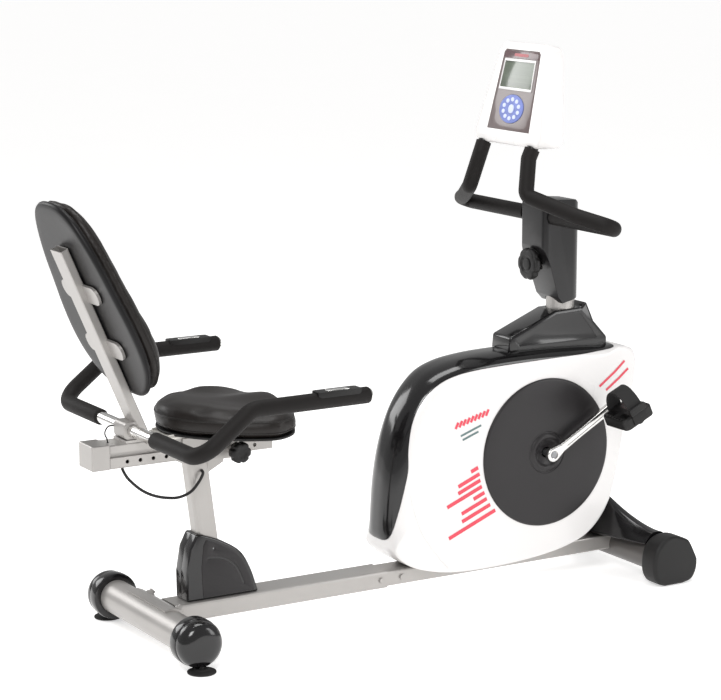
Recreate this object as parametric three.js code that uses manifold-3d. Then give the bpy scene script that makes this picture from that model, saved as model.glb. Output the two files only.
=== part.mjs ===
// Recumbent exercise bike, built as separate named pieces.
// Millimetres. +X points forward (seat to console), +Y to the rider's left, +Z up.
// X is measured from the rear foot's axis while building; the last lines centre the whole bike on the origin.

import * as THREE from 'three';
import { mergeVertices } from 'three/addons/utils/BufferGeometryUtils.js';
import Module from 'manifold-3d';

const wasm = await Module();
wasm.setup();

// ---------------------------------------------------------------- driving dimensions

const GAP = 0.3; // clearance between pieces that touch

const BEAM = { halfWidth: 35, bottom: 45, top: 82.5, wall: 2.5, joint: 535, overlap: 90 };
const REAR_FOOT = { x: 0, z: 56, radius: 35, wall: 2.5, halfLength: 200, capStart: 171, capRadius: 49, capEnd: 231 };
const LEVELER = { y: 214, padRadius: 29, stemRadius: 5, stemTop: 50 };
const FRONT_FOOT = { x: 1155, z: 57, radius: 35, wall: 2.5, halfLength: 190, capStart: 160, capEnd: 212 };
const WHEEL = { x: 1206, z: 26.5, radius: 23.5, halfWidth: 8, y: 188, axleRadius: 4 };

const POST = { topX: 98, topZ: 371, footX: 136.5, footZ: 82.8, depth: 46, width: 40, wall: 2.5 };
const RAIL = { rear: -101, front: 262, bottom: 381, top: 429, halfWidth: 30, wall: 3.5, blockRear: -141 };
const GROOVE = { bottom: 403, top: 413, depth: 8 };
const HOLES = { z: 393, radius: 4, pitch: 28.5, pinX: 164, first: -8, last: 2 };
const CRADLE = { rear: 56, front: 192, wall: 4, top: 425 };
const PULL_PIN = { radius: 3.7, knobRadius: 22, knobStart: 62, knobEnd: 84 };

const BACK_LEAN = THREE.MathUtils.degToRad(23.5);
const BACK = { x: -45, z: 520, height: 430, halfWidth: 161, shell: 12, pad: 30 };
const BACK_POST = { footX: -26, footZ: 429.4, topX: -195, topZ: 818, depth: 18, width: 50, wall: 2 };
const SEAT = { rear: 17, front: 302, halfWidth: 195, bottom: 438, top: 488 };

const SIDE_BAR = { y: 315, x: -48, low: 452, high: 537, bendX: 62, end: 322, tube: 12.5, foam: 16.5, bare: 118 };
const FRONT_BAR = { x: 942, z: 810, corner: 300, tube: 12.5, foam: 16.5 };
const CONSOLE = { bottomX: 847, bottomZ: 967, topX: 895, topZ: 1182, bottomHalf: 127, topHalf: 89 };

const CRANK = { x: 920, z: 300, length: 170, angle: THREE.MathUtils.degToRad(30), armY: 82, pedalY: 160 };
const PEDAL = { tilt: THREE.MathUtils.degToRad(-25), halfLength: 40, halfWidth: 42, halfDepth: 13, strap: 66 };
const PULLEY = { radius: 118, y: 45, width: 10 };
const FLYWHEEL = { x: 690, z: 288, radius: 112, width: 26, y: -8, pulleyRadius: 15, axle: 7 };
const BELT = { width: 9, thickness: 2.5 };
const BELT_LEAN = Math.atan2(CRANK.z - FLYWHEEL.z, CRANK.x - FLYWHEEL.x);
const BELT_REACH = Math.hypot(CRANK.x - FLYWHEEL.x, CRANK.z - FLYWHEEL.z);
const BELT_OPEN = Math.acos((PULLEY.radius - FLYWHEEL.pulleyRadius) / BELT_REACH);
const IDLER = { radius: 18, ...idlerCentre(18, 0.6) };
const BRAKE_PIN = { x: FLYWHEEL.x - 10, z: FLYWHEEL.z + FLYWHEEL.radius + 30, radius: 4 };
const HOUSING = { halfWidth: 63, wall: 3, edge: 9, crown: 56, topInset: 25, rearInset: 46 };
const MAST = { x: 997, radius: 31, wall: 2.5, top: 800, knobZ: 705 };
const DISC = { radius: 163, thickness: 4 };

// The idler touches the outside of the belt's lower run, part of the way from the pulley to the flywheel.
function idlerCentre(radius, along) {
  const normal = BELT_LEAN + Math.PI + BELT_OPEN;
  const out = PULLEY.radius * (1 - along) + FLYWHEEL.pulleyRadius * along + BELT.thickness + 2 * GAP + radius;
  return {
    x: CRANK.x + (FLYWHEEL.x - CRANK.x) * along + Math.cos(normal) * out,
    z: CRANK.z + (FLYWHEEL.z - CRANK.z) * along + Math.sin(normal) * out,
  };
}

// ---------------------------------------------------------------- materials

const finish = (color, roughness, metalness) => new THREE.MeshStandardMaterial({ color, roughness, metalness });
const silver = () => finish(0xb9b7b0, 0.38, 0.55);
const chrome = () => finish(0xd9dadb, 0.16, 1.0);
const steel = () => finish(0x8c8d8f, 0.4, 0.9);
const darkMetal = () => finish(0x4a4745, 0.4, 0.5);
const whiteShell = () => finish(0xf1efee, 0.32, 0.0);
const glossBlack = () => finish(0x1b1a1b, 0.18, 0.0);
const greyBlack = () => finish(0x4c494a, 0.45, 0.0);
const softBlack = () => finish(0x2e2b29, 0.75, 0.0);
const leather = () => finish(0x3b3734, 0.6, 0.0);
const rubber = () => finish(0x1c1b1b, 0.85, 0.0);

// ---------------------------------------------------------------- solid helpers

const bike = new THREE.Group();

function add(name, geometry, material) {
  const mesh = new THREE.Mesh(geometry, material);
  mesh.name = name;
  bike.add(mesh);
  return mesh;
}

// A closed three.js geometry as a manifold solid, and back.
function solid(geometry) {
  const bare = geometry.clone();
  bare.deleteAttribute('normal');
  bare.deleteAttribute('uv');
  const merged = mergeVertices(bare, 1e-3);
  const index = merged.index.array;
  const triangles = [];
  for (let i = 0; i < index.length; i += 3) {
    const [a, b, c] = [index[i], index[i + 1], index[i + 2]];
    if (a !== b && b !== c && c !== a) triangles.push(a, b, c);
  }
  const mesh = new wasm.Mesh({
    numProp: 3,
    vertProperties: new Float32Array(merged.attributes.position.array),
    triVerts: new Uint32Array(triangles),
  });
  return new wasm.Manifold(mesh);
}

function shape(body) {
  const mesh = body.getMesh();
  const geometry = new THREE.BufferGeometry();
  geometry.setAttribute('position', new THREE.BufferAttribute(new Float32Array(mesh.vertProperties), 3));
  geometry.setIndex(new THREE.BufferAttribute(new Uint32Array(mesh.triVerts), 1));
  return geometry;
}

const cut = (base, ...tools) => tools.reduce((body, tool) => body.subtract(tool), base);
const join = (...bodies) => bodies.reduce((body, other) => body.add(other));

const box = (x0, x1, y0, y1, z0, z1) =>
  new THREE.BoxGeometry(x1 - x0, y1 - y0, z1 - z0).translate((x0 + x1) / 2, (y0 + y1) / 2, (z0 + z1) / 2);

// A round bar from point a to point b.
function bar(a, b, radius, sides = 20) {
  const from = new THREE.Vector3(...a);
  const along = new THREE.Vector3(...b).sub(from);
  const geometry = new THREE.CylinderGeometry(radius, radius, along.length(), sides);
  const turn = new THREE.Quaternion().setFromUnitVectors(new THREE.Vector3(0, 1, 0), along.clone().normalize());
  return geometry.applyQuaternion(turn).translate(...from.addScaledVector(along, 0.5).toArray());
}

const outline = (points) => new THREE.Shape(points.map(([u, v]) => new THREE.Vector2(u, v)));

// Points of a smooth closed or open curve through a few chosen points.
const smooth = (points, count, closed = false) =>
  new THREE.CatmullRomCurve3(points.map(([u, v]) => new THREE.Vector3(u, v, 0)), closed, 'centripetal')
    .getPoints(count)
    .slice(0, closed ? -1 : undefined)
    .map((p) => [p.x, p.y]);

const arc = (cx, cy, radius, from, to, steps) =>
  Array.from({ length: steps + 1 }, (_, i) => {
    const angle = THREE.MathUtils.degToRad(from + ((to - from) * i) / steps);
    return [cx + radius * Math.cos(angle), cy + radius * Math.sin(angle)];
  });

function roundedRect(halfU, halfV, radius, steps = 4, cu = 0, cv = 0) {
  const u = halfU - radius;
  const v = halfV - radius;
  return [
    ...arc(cu + u, cv + v, radius, 0, 90, steps),
    ...arc(cu - u, cv + v, radius, 90, 180, steps),
    ...arc(cu - u, cv - v, radius, 180, 270, steps),
    ...arc(cu + u, cv - v, radius, 270, 360, steps),
  ];
}

// A side-view outline (x, z) given a thickness from y0 to y1, with rounded edges if bevel is set.
function sidePlate(points, y0, y1, bevel = 0, steps = 2, hole = null, inset = bevel) {
  const profile = outline(points);
  if (hole) profile.holes.push(new THREE.Path(hole.map(([u, v]) => new THREE.Vector2(u, v))));
  const geometry = new THREE.ExtrudeGeometry(profile, {
    depth: y1 - y0 - 2 * bevel,
    bevelEnabled: bevel > 0,
    bevelThickness: bevel,
    bevelSize: inset,
    bevelOffset: -inset,
    bevelSegments: steps,
  });
  return geometry.rotateX(Math.PI / 2).translate(0, y1 - bevel, 0);
}

// A plan outline (x, y) given a height from z0 to z1.
function layer(points, z0, z1, bevel = 0, steps = 2) {
  const geometry = new THREE.ExtrudeGeometry(outline(points), {
    depth: z1 - z0 - 2 * bevel,
    bevelEnabled: bevel > 0,
    bevelThickness: bevel,
    bevelSize: bevel,
    bevelOffset: -bevel,
    bevelSegments: steps,
  });
  return geometry.translate(0, 0, z0 + bevel);
}

// A cushion: the outline at its base, rounding in by the inset as it rises through the crown height.
function cushion(points, base, top, crown, inset) {
  const straight = top - base - crown;
  const geometry = new THREE.ExtrudeGeometry(outline(points), {
    depth: 2 * straight,
    bevelEnabled: true,
    bevelThickness: crown,
    bevelSize: inset,
    bevelOffset: -inset,
    bevelSegments: 3,
  });
  return shape(solid(geometry.translate(0, 0, base - straight)).trimByPlane([0, 0, 1], base));
}

// A cross-section (y, z) run along X from x0 to x1.
function run(points, x0, x1, hole = null) {
  const profile = outline(points);
  if (hole) profile.holes.push(new THREE.Path(hole.map(([u, v]) => new THREE.Vector2(u, v))));
  const geometry = new THREE.ExtrudeGeometry(profile, { depth: x1 - x0, bevelEnabled: false });
  const turn = new THREE.Matrix4().makeBasis(
    new THREE.Vector3(0, 1, 0),
    new THREE.Vector3(0, 0, 1),
    new THREE.Vector3(1, 0, 0),
  );
  return geometry.applyMatrix4(turn).translate(x0, 0, 0);
}

// A turned piece: profile points are (radius, distance along the axis).
function turned(points, axis, origin, sides = 32) {
  const geometry = new THREE.LatheGeometry(points.map(([r, h]) => new THREE.Vector2(r, h)), sides);
  const turn = new THREE.Quaternion().setFromUnitVectors(new THREE.Vector3(0, 1, 0), new THREE.Vector3(...axis));
  const body = solid(geometry.applyQuaternion(turn).translate(...origin));
  return shape(body.volume() < 0 ? solid(flipped(geometry)) : body);
}

function flipped(geometry) {
  const copy = geometry.clone();
  const index = copy.index.array;
  for (let i = 0; i < index.length; i += 3) [index[i], index[i + 1]] = [index[i + 1], index[i]];
  return copy;
}

// A path of straight runs joined by round bends; a straight run is one step.
class BentPath extends THREE.Curve {
  constructor(corners, radius, bendSteps) {
    super();
    const points = corners.map((c) => new THREE.Vector3(...c));
    const first = points[1].clone().sub(points[0]).normalize();
    this.knots = [{ point: points[0], tangent: first }];
    for (let i = 1; i < points.length - 1; i += 1) this.bend(points[i - 1], points[i], points[i + 1], radius, bendSteps);
    const last = points.at(-1).clone().sub(points.at(-2)).normalize();
    this.knots.push({ point: points.at(-1), tangent: last });
  }

  bend(before, corner, after, radius, steps) {
    const into = corner.clone().sub(before).normalize();
    const out = after.clone().sub(corner).normalize();
    const turn = into.angleTo(out);
    const reach = radius * Math.tan(turn / 2);
    const side = out.clone().addScaledVector(into, -out.dot(into)).normalize();
    const centre = corner.clone().addScaledVector(into, -reach).addScaledVector(side, radius);
    for (let i = 0; i <= steps; i += 1) {
      const angle = (turn * i) / steps;
      const point = centre.clone().addScaledVector(side, -radius * Math.cos(angle));
      point.addScaledVector(into, radius * Math.sin(angle));
      const tangent = into.clone().multiplyScalar(Math.cos(angle)).addScaledVector(side, Math.sin(angle));
      this.knots.push({ point, tangent });
    }
  }

  knot(u) {
    return this.knots[Math.round(u * (this.knots.length - 1))];
  }

  getPoint(u) {
    return this.knot(u).point.clone();
  }

  getPointAt(u) {
    return this.knot(u).point.clone();
  }

  getTangentAt(u, target = new THREE.Vector3()) {
    return target.copy(this.knot(u).tangent);
  }

  getSpacedPoints() {
    return this.knots.map((k) => k.point.clone());
  }
}

function sweep(path, steps, radius, bore = 0, sides = 14) {
  const section = outline(arc(0, 0, radius, 0, 360 - 360 / sides, sides - 1));
  if (bore) {
    const inner = arc(0, 0, bore / Math.cos(Math.PI / sides), 0, 360 - 360 / sides, sides - 1);
    section.holes.push(new THREE.Path(inner.map(([u, v]) => new THREE.Vector2(u, v))));
  }
  return new THREE.ExtrudeGeometry(section, { steps, extrudePath: path });
}

function bentTube(corners, bendRadius, radius, bore = 0, sides = 14, bendSteps = 5) {
  const path = new BentPath(corners, bendRadius, bendSteps);
  return sweep(path, path.knots.length - 1, radius, bore, sides);
}

// A closed outline grown outward by a distance.
function grow(points, distance) {
  return points.map((point, i) => {
    const before = points[(i + points.length - 1) % points.length];
    const after = points[(i + 1) % points.length];
    const length = Math.hypot(after[0] - before[0], after[1] - before[1]);
    const normal = [(after[1] - before[1]) / length, -(after[0] - before[0]) / length];
    return [point[0] + normal[0] * distance, point[1] + normal[1] * distance];
  });
}

const mirrorY = (points) => points.map(([x, y, z]) => [x, -y, z]);
const mirrorPlan = (points) => points.map(([x, y]) => [x, -y]);
const SIDES = [['right', -1], ['left', 1]];
const span = (side, near, far) => (side < 0 ? [-far, -near] : [near, far]);

// ---------------------------------------------------------------- floor frame

function rearBeam() {
  const tube = run(
    roundedRect(BEAM.halfWidth, (BEAM.top - BEAM.bottom) / 2, 5, 2, 0, (BEAM.top + BEAM.bottom) / 2),
    REAR_FOOT.x + 37,
    BEAM.joint,
    roundedRect(BEAM.halfWidth - BEAM.wall, (BEAM.top - BEAM.bottom) / 2 - BEAM.wall, 3, 2, 0, (BEAM.top + BEAM.bottom) / 2),
  );
  const { x, z, radius } = REAR_FOOT;
  const saddle = sidePlate([...arc(x, z, radius + 5, -24, 112, 8), ...arc(x, z, radius + GAP, 112, -24, 8)], -85, 85);
  const bolts = SIDES.flatMap(([, side]) => {
    const angle = THREE.MathUtils.degToRad(47);
    const at = (r) => [x + r * Math.cos(angle), side * 65, z + r * Math.sin(angle)];
    return [solid(bar(at(radius + 3), at(radius + 14), 6.5, 10)), solid(bar(at(radius + 4), at(radius + 8), 10, 10))];
  });
  const sideBolts = SIDES.map(([, side]) =>
    solid(bar([BEAM.joint - 15, side * (BEAM.halfWidth - 1), 64], [BEAM.joint - 15, side * (BEAM.halfWidth + 4), 64], 6, 12)));
  const bore = solid(bar([x, -90, z], [x, 90, z], radius + GAP, 32));
  add('rear_beam', shape(cut(join(solid(tube), solid(saddle), ...bolts, ...sideBolts), bore)), silver());
}

function frontBeam() {
  const middle = (BEAM.top + BEAM.bottom) / 2;
  const halfWidth = BEAM.halfWidth - BEAM.wall - GAP;
  const halfHeight = (BEAM.top - BEAM.bottom) / 2 - BEAM.wall - GAP;
  const tube = run(
    roundedRect(halfWidth, halfHeight, 3, 2, 0, middle),
    BEAM.joint - BEAM.overlap,
    FRONT_FOOT.x - 5,
    roundedRect(halfWidth - BEAM.wall, halfHeight - BEAM.wall, 1.5, 1, 0, middle),
  );
  const foot = solid(bar([FRONT_FOOT.x, -60, FRONT_FOOT.z], [FRONT_FOOT.x, 60, FRONT_FOOT.z], FRONT_FOOT.radius + GAP, 32));
  const bolts = SIDES.map(([, side]) =>
    solid(bar([BEAM.joint + 38, side * (halfWidth - 1), 64], [BEAM.joint + 38, side * (halfWidth + 4), 64], 6, 12)));
  add('front_beam', shape(cut(join(solid(tube), ...bolts), foot)), silver());
}

function footTube(name, foot, material) {
  const ring = (y0, y1, r) => bar([foot.x, y0, foot.z], [foot.x, y1, foot.z], r, 32);
  const { halfLength, radius, wall } = foot;
  const tube = cut(
    solid(ring(-halfLength, halfLength, radius)),
    solid(ring(-halfLength - 1, halfLength + 1, radius - wall)),
  );
  add(name, shape(tube), material);
}

function rearCaps() {
  const { x, z, radius, halfLength, capStart, capRadius, capEnd } = REAR_FOOT;
  const profile = [
    [0, halfLength + 1], [radius + GAP, halfLength + 1], [radius + GAP, capStart],
    [capRadius - 3, capStart], [capRadius, capStart + 4], [capRadius, capStart + 26],
    [capRadius - 2, capStart + 38], [capRadius - 8, capStart + 49], [capRadius - 20, capEnd - 3],
    [capRadius - 36, capEnd], [0, capEnd],
  ];
  for (const [name, side] of SIDES) {
    const cap = solid(turned(profile, [0, side, 0], [x, 0, z], 24));
    const stem = solid(bar([x, side * LEVELER.y, -1], [x, side * LEVELER.y, LEVELER.stemTop + 1], LEVELER.stemRadius + GAP, 12));
    add(`rear_cap_${name}`, shape(cut(cap, stem)), glossBlack());
  }
}

function levelers() {
  const { padRadius, stemRadius, stemTop, y } = LEVELER;
  const profile = [
    [0, 0], [padRadius - 2, 0], [padRadius, 2], [padRadius, 3.6], [14, 5.6], [13, 6.4],
    [stemRadius, 6.4], [stemRadius, stemTop], [0, stemTop],
  ];
  for (const [name, side] of SIDES) {
    add(`leveler_${name}`, turned(profile, [0, 0, 1], [REAR_FOOT.x, side * y, 0], 16), rubber());
  }
}

function frontCaps() {
  const { x, z, radius, halfLength, capStart, capEnd } = FRONT_FOOT;
  const crown = smooth(
    [
      [x + 58, 0], [x + 71, 8], [x + 75, 30], [x + 73, 62], [x + 62, 88], [x + 40, 104], [x + 10, 112], [x - 22, 105],
      [x - 42, 86], [x - 49, 56], [x - 48, 20], [x - 40, 0],
    ],
    20,
  );
  for (const [name, side] of SIDES) {
    const [y0, y1] = span(side, capStart, capEnd);
    const [b0, b1] = span(side, capStart - 1, halfLength + 1);
    const [w0, w1] = span(side, WHEEL.y - WHEEL.halfWidth - 1, WHEEL.y + WHEEL.halfWidth + 1);
    const body = cut(
      solid(sidePlate(crown, y0, y1, 7, 2)),
      solid(bar([x, b0, z], [x, b1, z], radius + GAP, 32)),
      solid(bar([WHEEL.x, w0, WHEEL.z], [WHEEL.x, w1, WHEEL.z], WHEEL.radius + 1.5, 20)),
    );
    const axle = solid(bar([WHEEL.x, w0 - 2, WHEEL.z], [WHEEL.x, w1 + 2, WHEEL.z], WHEEL.axleRadius, 16));
    add(`front_cap_${name}`, shape(join(body, axle)), softBlack());
    const { axleRadius: bore, halfWidth: half, radius: rim } = WHEEL;
    const tread = [[bore + GAP, -half], [rim - 3, -half], [rim, 3 - half], [rim, half - 3], [rim - 3, half], [bore + GAP, half]];
    const wheel = turned([...tread, tread[0]], [0, 1, 0], [WHEEL.x, side * WHEEL.y, WHEEL.z], 18);
    add(`transport_wheel_${name}`, wheel, rubber());
  }
}

// The glossy fairing that spreads from the housing's foot down to both front caps.
function frontFootCover() {
  const { x, z, radius, capStart } = FRONT_FOOT;
  const end = capStart - GAP;
  const corners = [
    [x - 58, 38, 172], [x - 44, 38, 172], [x - 84, 38, 86], [x + 26, 38, 86], [x - 10, end, 112], [x + 8, end, 111],
    [x - 36, end, 86], [x + 34, end, 86],
  ];
  const both = [...corners, ...mirrorY(corners)];
  const clear = [
    solid(bar([x, -220, z], [x, 220, z], radius + GAP, 32)),
    solid(box(x - 120, x + 60, -BEAM.halfWidth - GAP, BEAM.halfWidth + GAP, 40, BEAM.top + GAP)),
    housingBlock(GAP),
  ];
  add('front_foot_cover', shape(cut(wasm.Manifold.hull(both), ...clear)), glossBlack());
}

// ---------------------------------------------------------------- drive housing

const HOUSING_OUTLINE = smooth(
  [
    [1150, 507], [1060, 520], [930, 527], [814, 527], [745, 523], [688, 514], [642, 496], [606, 465], [578, 426],
    [559, 384], [543, 330], [533, 272], [528, 210], [527, 162], [536, 130], [556, 106], [588, 86], [640, 70],
    [700, 61], [815, 60], [920, 68], [985, 80], [1034, 98], [1070, 128], [1097, 170], [1116, 236], [1133, 321],
    [1149, 390], [1160, 443], [1162, 480],
  ],
  40,
  true,
);

// The line where the dark top cover meets the white side shells, from the rear tip to the front tip.
const COVER_LINE = smooth(
  [
    [505, 122], [526, 140], [538, 164], [550, 210], [562, 262], [570, 300], [573, 346], [584, 396], [600, 430], [624, 459],
    [655, 481], [692, 493], [740, 499], [800, 502], [930, 505], [1050, 507], [1104, 512], [1140, 530],
  ],
  26,
);

const coverRegion = (drop) => {
  const line = COVER_LINE.map(([x, z], i) => {
    const [x1, z1] = COVER_LINE[Math.min(i + 1, COVER_LINE.length - 1)];
    const [x0, z0] = COVER_LINE[Math.max(i - 1, 0)];
    const length = Math.hypot(x1 - x0, z1 - z0);
    return [x + ((z1 - z0) / length) * drop, z - ((x1 - x0) / length) * drop];
  });
  return solid(sidePlate([...line, [1150, 560], [480, 560], [480, 122]], -80, 80));
};

// The top and the edge towards the rider are arched across the width; the bottom and front edges are only rounded.
const CROWN_OUTLINE = [
  ...HOUSING_OUTLINE.filter(([x, z]) => (z > 150 && x < 900) || (z > 500 && x < 1100)),
  [500, -300], [1700, -300], [1700, 470],
];

function housingBlock(extra = 0) {
  const { halfWidth, edge, crown, topInset, rearInset } = HOUSING;
  const width = halfWidth + extra;
  const stretch = rearInset / topInset;
  const narrowed = grow(CROWN_OUTLINE, extra).map(([x, z]) => [x / stretch, z]);
  const arched = sidePlate(narrowed, -width, width, crown, 3, null, topInset).scale(stretch, 1, 1);
  return solid(sidePlate(grow(HOUSING_OUTLINE, extra), -width, width, edge, 2)).intersect(solid(arched));
}

function housing() {
  const beam = solid(box(440, 1200, -BEAM.halfWidth - GAP, BEAM.halfWidth + GAP, BEAM.bottom - GAP, BEAM.top + GAP));
  const mast = solid(bar([MAST.x, 0, 70], [MAST.x, 0, 700], MAST.radius + 1, 24));
  const hub = solid(bar([CRANK.x, -90, CRANK.z], [CRANK.x, 90, CRANK.z], 20, 24));
  const shell = cut(housingBlock(), housingBlock(-HOUSING.wall), beam, mast, hub);
  const sides = cut(shell, coverRegion(0));
  for (const [name, side] of SIDES) {
    const [y0, y1] = span(side, GAP / 2, 100);
    add(`housing_shell_${name}`, shape(sides.intersect(solid(box(400, 1300, y0, y1, 0, 700)))), whiteShell());
  }
  const top = shell.intersect(coverRegion(-GAP));
  add('housing_top_cover', shape(top), glossBlack());
}

function discCovers() {
  const { radius, thickness } = DISC;
  const face = HOUSING.halfWidth + GAP;
  const profile = [
    [25, 0], [radius, 0], [radius, 1.5], [radius - 3, thickness], [36, thickness + 1.5], [33, thickness + 4], [27, thickness + 4],
    [25, thickness + 1],
  ];
  for (const [name, side] of SIDES) {
    const ring = turned([...profile, profile[0]], [0, side, 0], [CRANK.x, side * face, CRANK.z], 28);
    add(`disc_cover_${name}`, ring, greyBlack());
  }
}

function mastBoot() {
  const outer = [[840, 520], [843, 555], [962, 603], [1028, 605], [1043, 617], [1064, 572], [1100, 534], [1100, 510], [840, 510]];
  const inner = [[845, 490], [845, 545], [848, 551], [963, 598], [1030, 600], [1040, 605], [1059, 569], [1094, 532], [1094, 490]];
  const body = cut(
    solid(sidePlate(outer, -36, 36, 5, 2)),
    solid(sidePlate(inner, -33, 33, 4, 1)),
    solid(bar([MAST.x, 0, 500], [MAST.x, 0, 700], MAST.radius + 1, 32)),
    housingBlock(GAP),
  );
  add('mast_boot', shape(body), glossBlack());
}

// ---------------------------------------------------------------- mast and handlebar clamp

function mast() {
  const { x, radius, wall, top, knobZ } = MAST;
  const { x: barX, z: barZ, tube } = FRONT_BAR;
  const pipe = cut(
    solid(bar([x, 0, BEAM.top + GAP], [x, 0, top], radius, 32)),
    solid(bar([x, 0, 0], [x, 0, top - 30], radius - wall, 24)),
  );
  const block = solid(box(barX - 10, x + 10, -18, 18, barZ - 34, barZ + 20));
  const bore = solid(bar([barX, -40, barZ], [barX, 40, barZ], tube + GAP, 20));
  const bolt = solid(bar([880, 0, knobZ], [x + 5, 0, knobZ], 6, 14));
  const seat = solid(box(barX + 8, x, -12, 12, knobZ - 15, barZ - 20));
  add('mast_tube', shape(cut(join(pipe, block, seat), bore, bolt)), silver());
}

function mastHeadCover() {
  const plan = (grown) => [
    ...arc(MAST.x, 0, 35.5 + grown, -80, 80, 8),
    ...arc(932, 34, 12 + grown, 90, 180, 3),
    ...arc(932, -34, 12 + grown, 180, 270, 3),
  ];
  const sideView = (d) => [
    [920 - d, 838 + d], [950, 846 + d], [1012, 842 + d], [1034 + d, 828], [1034 + d, 640], [1026, 626 - d],
    [976, 618 - d], [962 - d, 634], [940 - d, 700], [920 - d, 745],
  ];
  const outside = solid(layer(plan(0), 600, 860)).intersect(solid(sidePlate(sideView(0), -70, 70, 4, 1)));
  const inside = solid(layer(plan(-3), 590, 870)).intersect(solid(sidePlate(sideView(-3), -70, 70)));
  const neck = solid(bar([MAST.x, 0, 590], [MAST.x, 0, 640], MAST.radius + 1, 36));
  const barHole = solid(bar([FRONT_BAR.x, -70, FRONT_BAR.z], [FRONT_BAR.x, 70, FRONT_BAR.z], FRONT_BAR.tube + 2, 24));
  const boltHole = solid(bar([900, 0, MAST.knobZ], [946, 0, MAST.knobZ], 15, 16));
  add('mast_head_cover', shape(cut(outside, inside, neck, barHole, boltHole)), greyBlack());
}

function clampKnob() {
  const { x: mastX, knobZ } = MAST;
  const base = mastX - 61.5;
  const profile = [
    [0, 0], [12, 0], [13, 2], [13, 14], [33, 15], [35, 17], [35, 26], [31, 30], [20, 31], [17, 28], [0, 28],
  ];
  const knob = solid(turned(profile, [-1, 0, 0], [base, 0, knobZ], 24));
  const grips = Array.from({ length: 6 }, (_, i) => {
    const angle = (Math.PI * i) / 3;
    const [y, z] = [39 * Math.cos(angle), knobZ + 39 * Math.sin(angle)];
    return solid(bar([base - 40, y, z], [base - 10, y, z], 8, 10));
  });
  const stem = solid(bar([base - 10, 0, knobZ], [mastX - 7, 0, knobZ], 5.6, 12));
  add('clamp_knob', shape(join(cut(knob, ...grips), stem)), rubber());
}

// ---------------------------------------------------------------- front handlebar and console

const FRONT_PRONG = [
  [866, 93, 992], [846, 90, 945], [829, 106, 870], [885, 213, 834], [931, FRONT_BAR.corner, 813],
];

function frontHandlebar() {
  const { x, z, tube, foam } = FRONT_BAR;
  const left = [...FRONT_PRONG, [x, 262, z]];
  const right = mirrorY(left).reverse();
  const corners = [...left, ...right];
  add('front_handlebar_tube', bentTube(corners, 19, tube, 0, 8, 3), darkMetal());
  for (const [name, side] of SIDES) {
    const path = [[852.4, 91, 960], ...FRONT_PRONG.slice(1), [x, 262, z], [x, 52, z]].map(([px, py, pz]) => [px, side * py, pz]);
    add(`front_grip_${name}`, bentTube(path, 19, foam, tube + GAP, 8, 3), softBlack());
  }
}

// The console is drawn in the plane of its sloping face: u across, v up the face, w out of it towards the rider.
const CONSOLE_TILT = Math.atan2(CONSOLE.topX - CONSOLE.bottomX, CONSOLE.topZ - CONSOLE.bottomZ);
const CONSOLE_HEIGHT = Math.hypot(CONSOLE.topX - CONSOLE.bottomX, CONSOLE.topZ - CONSOLE.bottomZ);

function consoleFrame(geometry) {
  const across = new THREE.Vector3(0, -1, 0);
  const up = new THREE.Vector3(Math.sin(CONSOLE_TILT), 0, Math.cos(CONSOLE_TILT));
  const out = across.clone().cross(up);
  const frame = new THREE.Matrix4().makeBasis(across, up, out).setPosition(CONSOLE.bottomX, 0, CONSOLE.bottomZ);
  return geometry.applyMatrix4(frame);
}

function facePlate(points, w0, w1, bevel = 0) {
  return consoleFrame(layer(points, w0, w1, bevel, 2));
}

const PANEL = { halfBottom: 78, halfTop: 67, bottom: 30, top: 202 };
const KEYPAD = { v: 76, halfU: 44, halfV: 31, inner: 10 };

const oval = (grown, steps) => Array.from({ length: steps }, (_, i) => {
  const angle = (2 * Math.PI * i) / steps;
  return [(KEYPAD.halfU + grown) * Math.cos(angle), KEYPAD.v + (KEYPAD.halfV + grown) * Math.sin(angle)];
});

function consoleBody() {
  const { bottomHalf, topHalf } = CONSOLE;
  const height = CONSOLE_HEIGHT;
  const front = [
    [-bottomHalf + 8, 6], [-bottomHalf + 22, 0], [bottomHalf - 22, 0], [bottomHalf - 8, 6], [bottomHalf, 24], [topHalf, height - 16],
    [topHalf - 14, height], [14 - topHalf, height], [-topHalf, height - 16], [-bottomHalf, 24],
  ];
  const slab = solid(facePlate(front, -120, 0, 7));
  const sideView = [[795, 940], [847, 966], [898, 966], [908, 978], [935, 1172], [928, 1190], [875, 1200]];
  const body = slab.intersect(solid(sidePlate(sideView, -140, 140)));
  const recess = solid(facePlate(panelOutline(GAP), -4, 5));
  const [prongTop, prongKnee] = FRONT_PRONG;
  const prongs = SIDES.map(([, side]) => {
    const at = ([x, y, z]) => new THREE.Vector3(x, side * y, z);
    const along = at(prongTop).sub(at(prongKnee)).normalize();
    const past = at(prongTop).addScaledVector(along, 1);
    return solid(bar(at(prongKnee).toArray(), past.toArray(), FRONT_BAR.tube + 1.5, 12));
  });
  add('console_body', shape(cut(body, recess, ...prongs)), whiteShell());
}

function panelOutline(grown) {
  const { halfBottom, halfTop, bottom, top } = PANEL;
  return [
    [-halfBottom - grown, bottom - grown], [halfBottom + grown, bottom - grown], [halfTop + grown, top - 6],
    [halfTop - 6, top + grown], [6 - halfTop, top + grown], [-halfTop - grown, top - 6],
  ];
}

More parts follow.
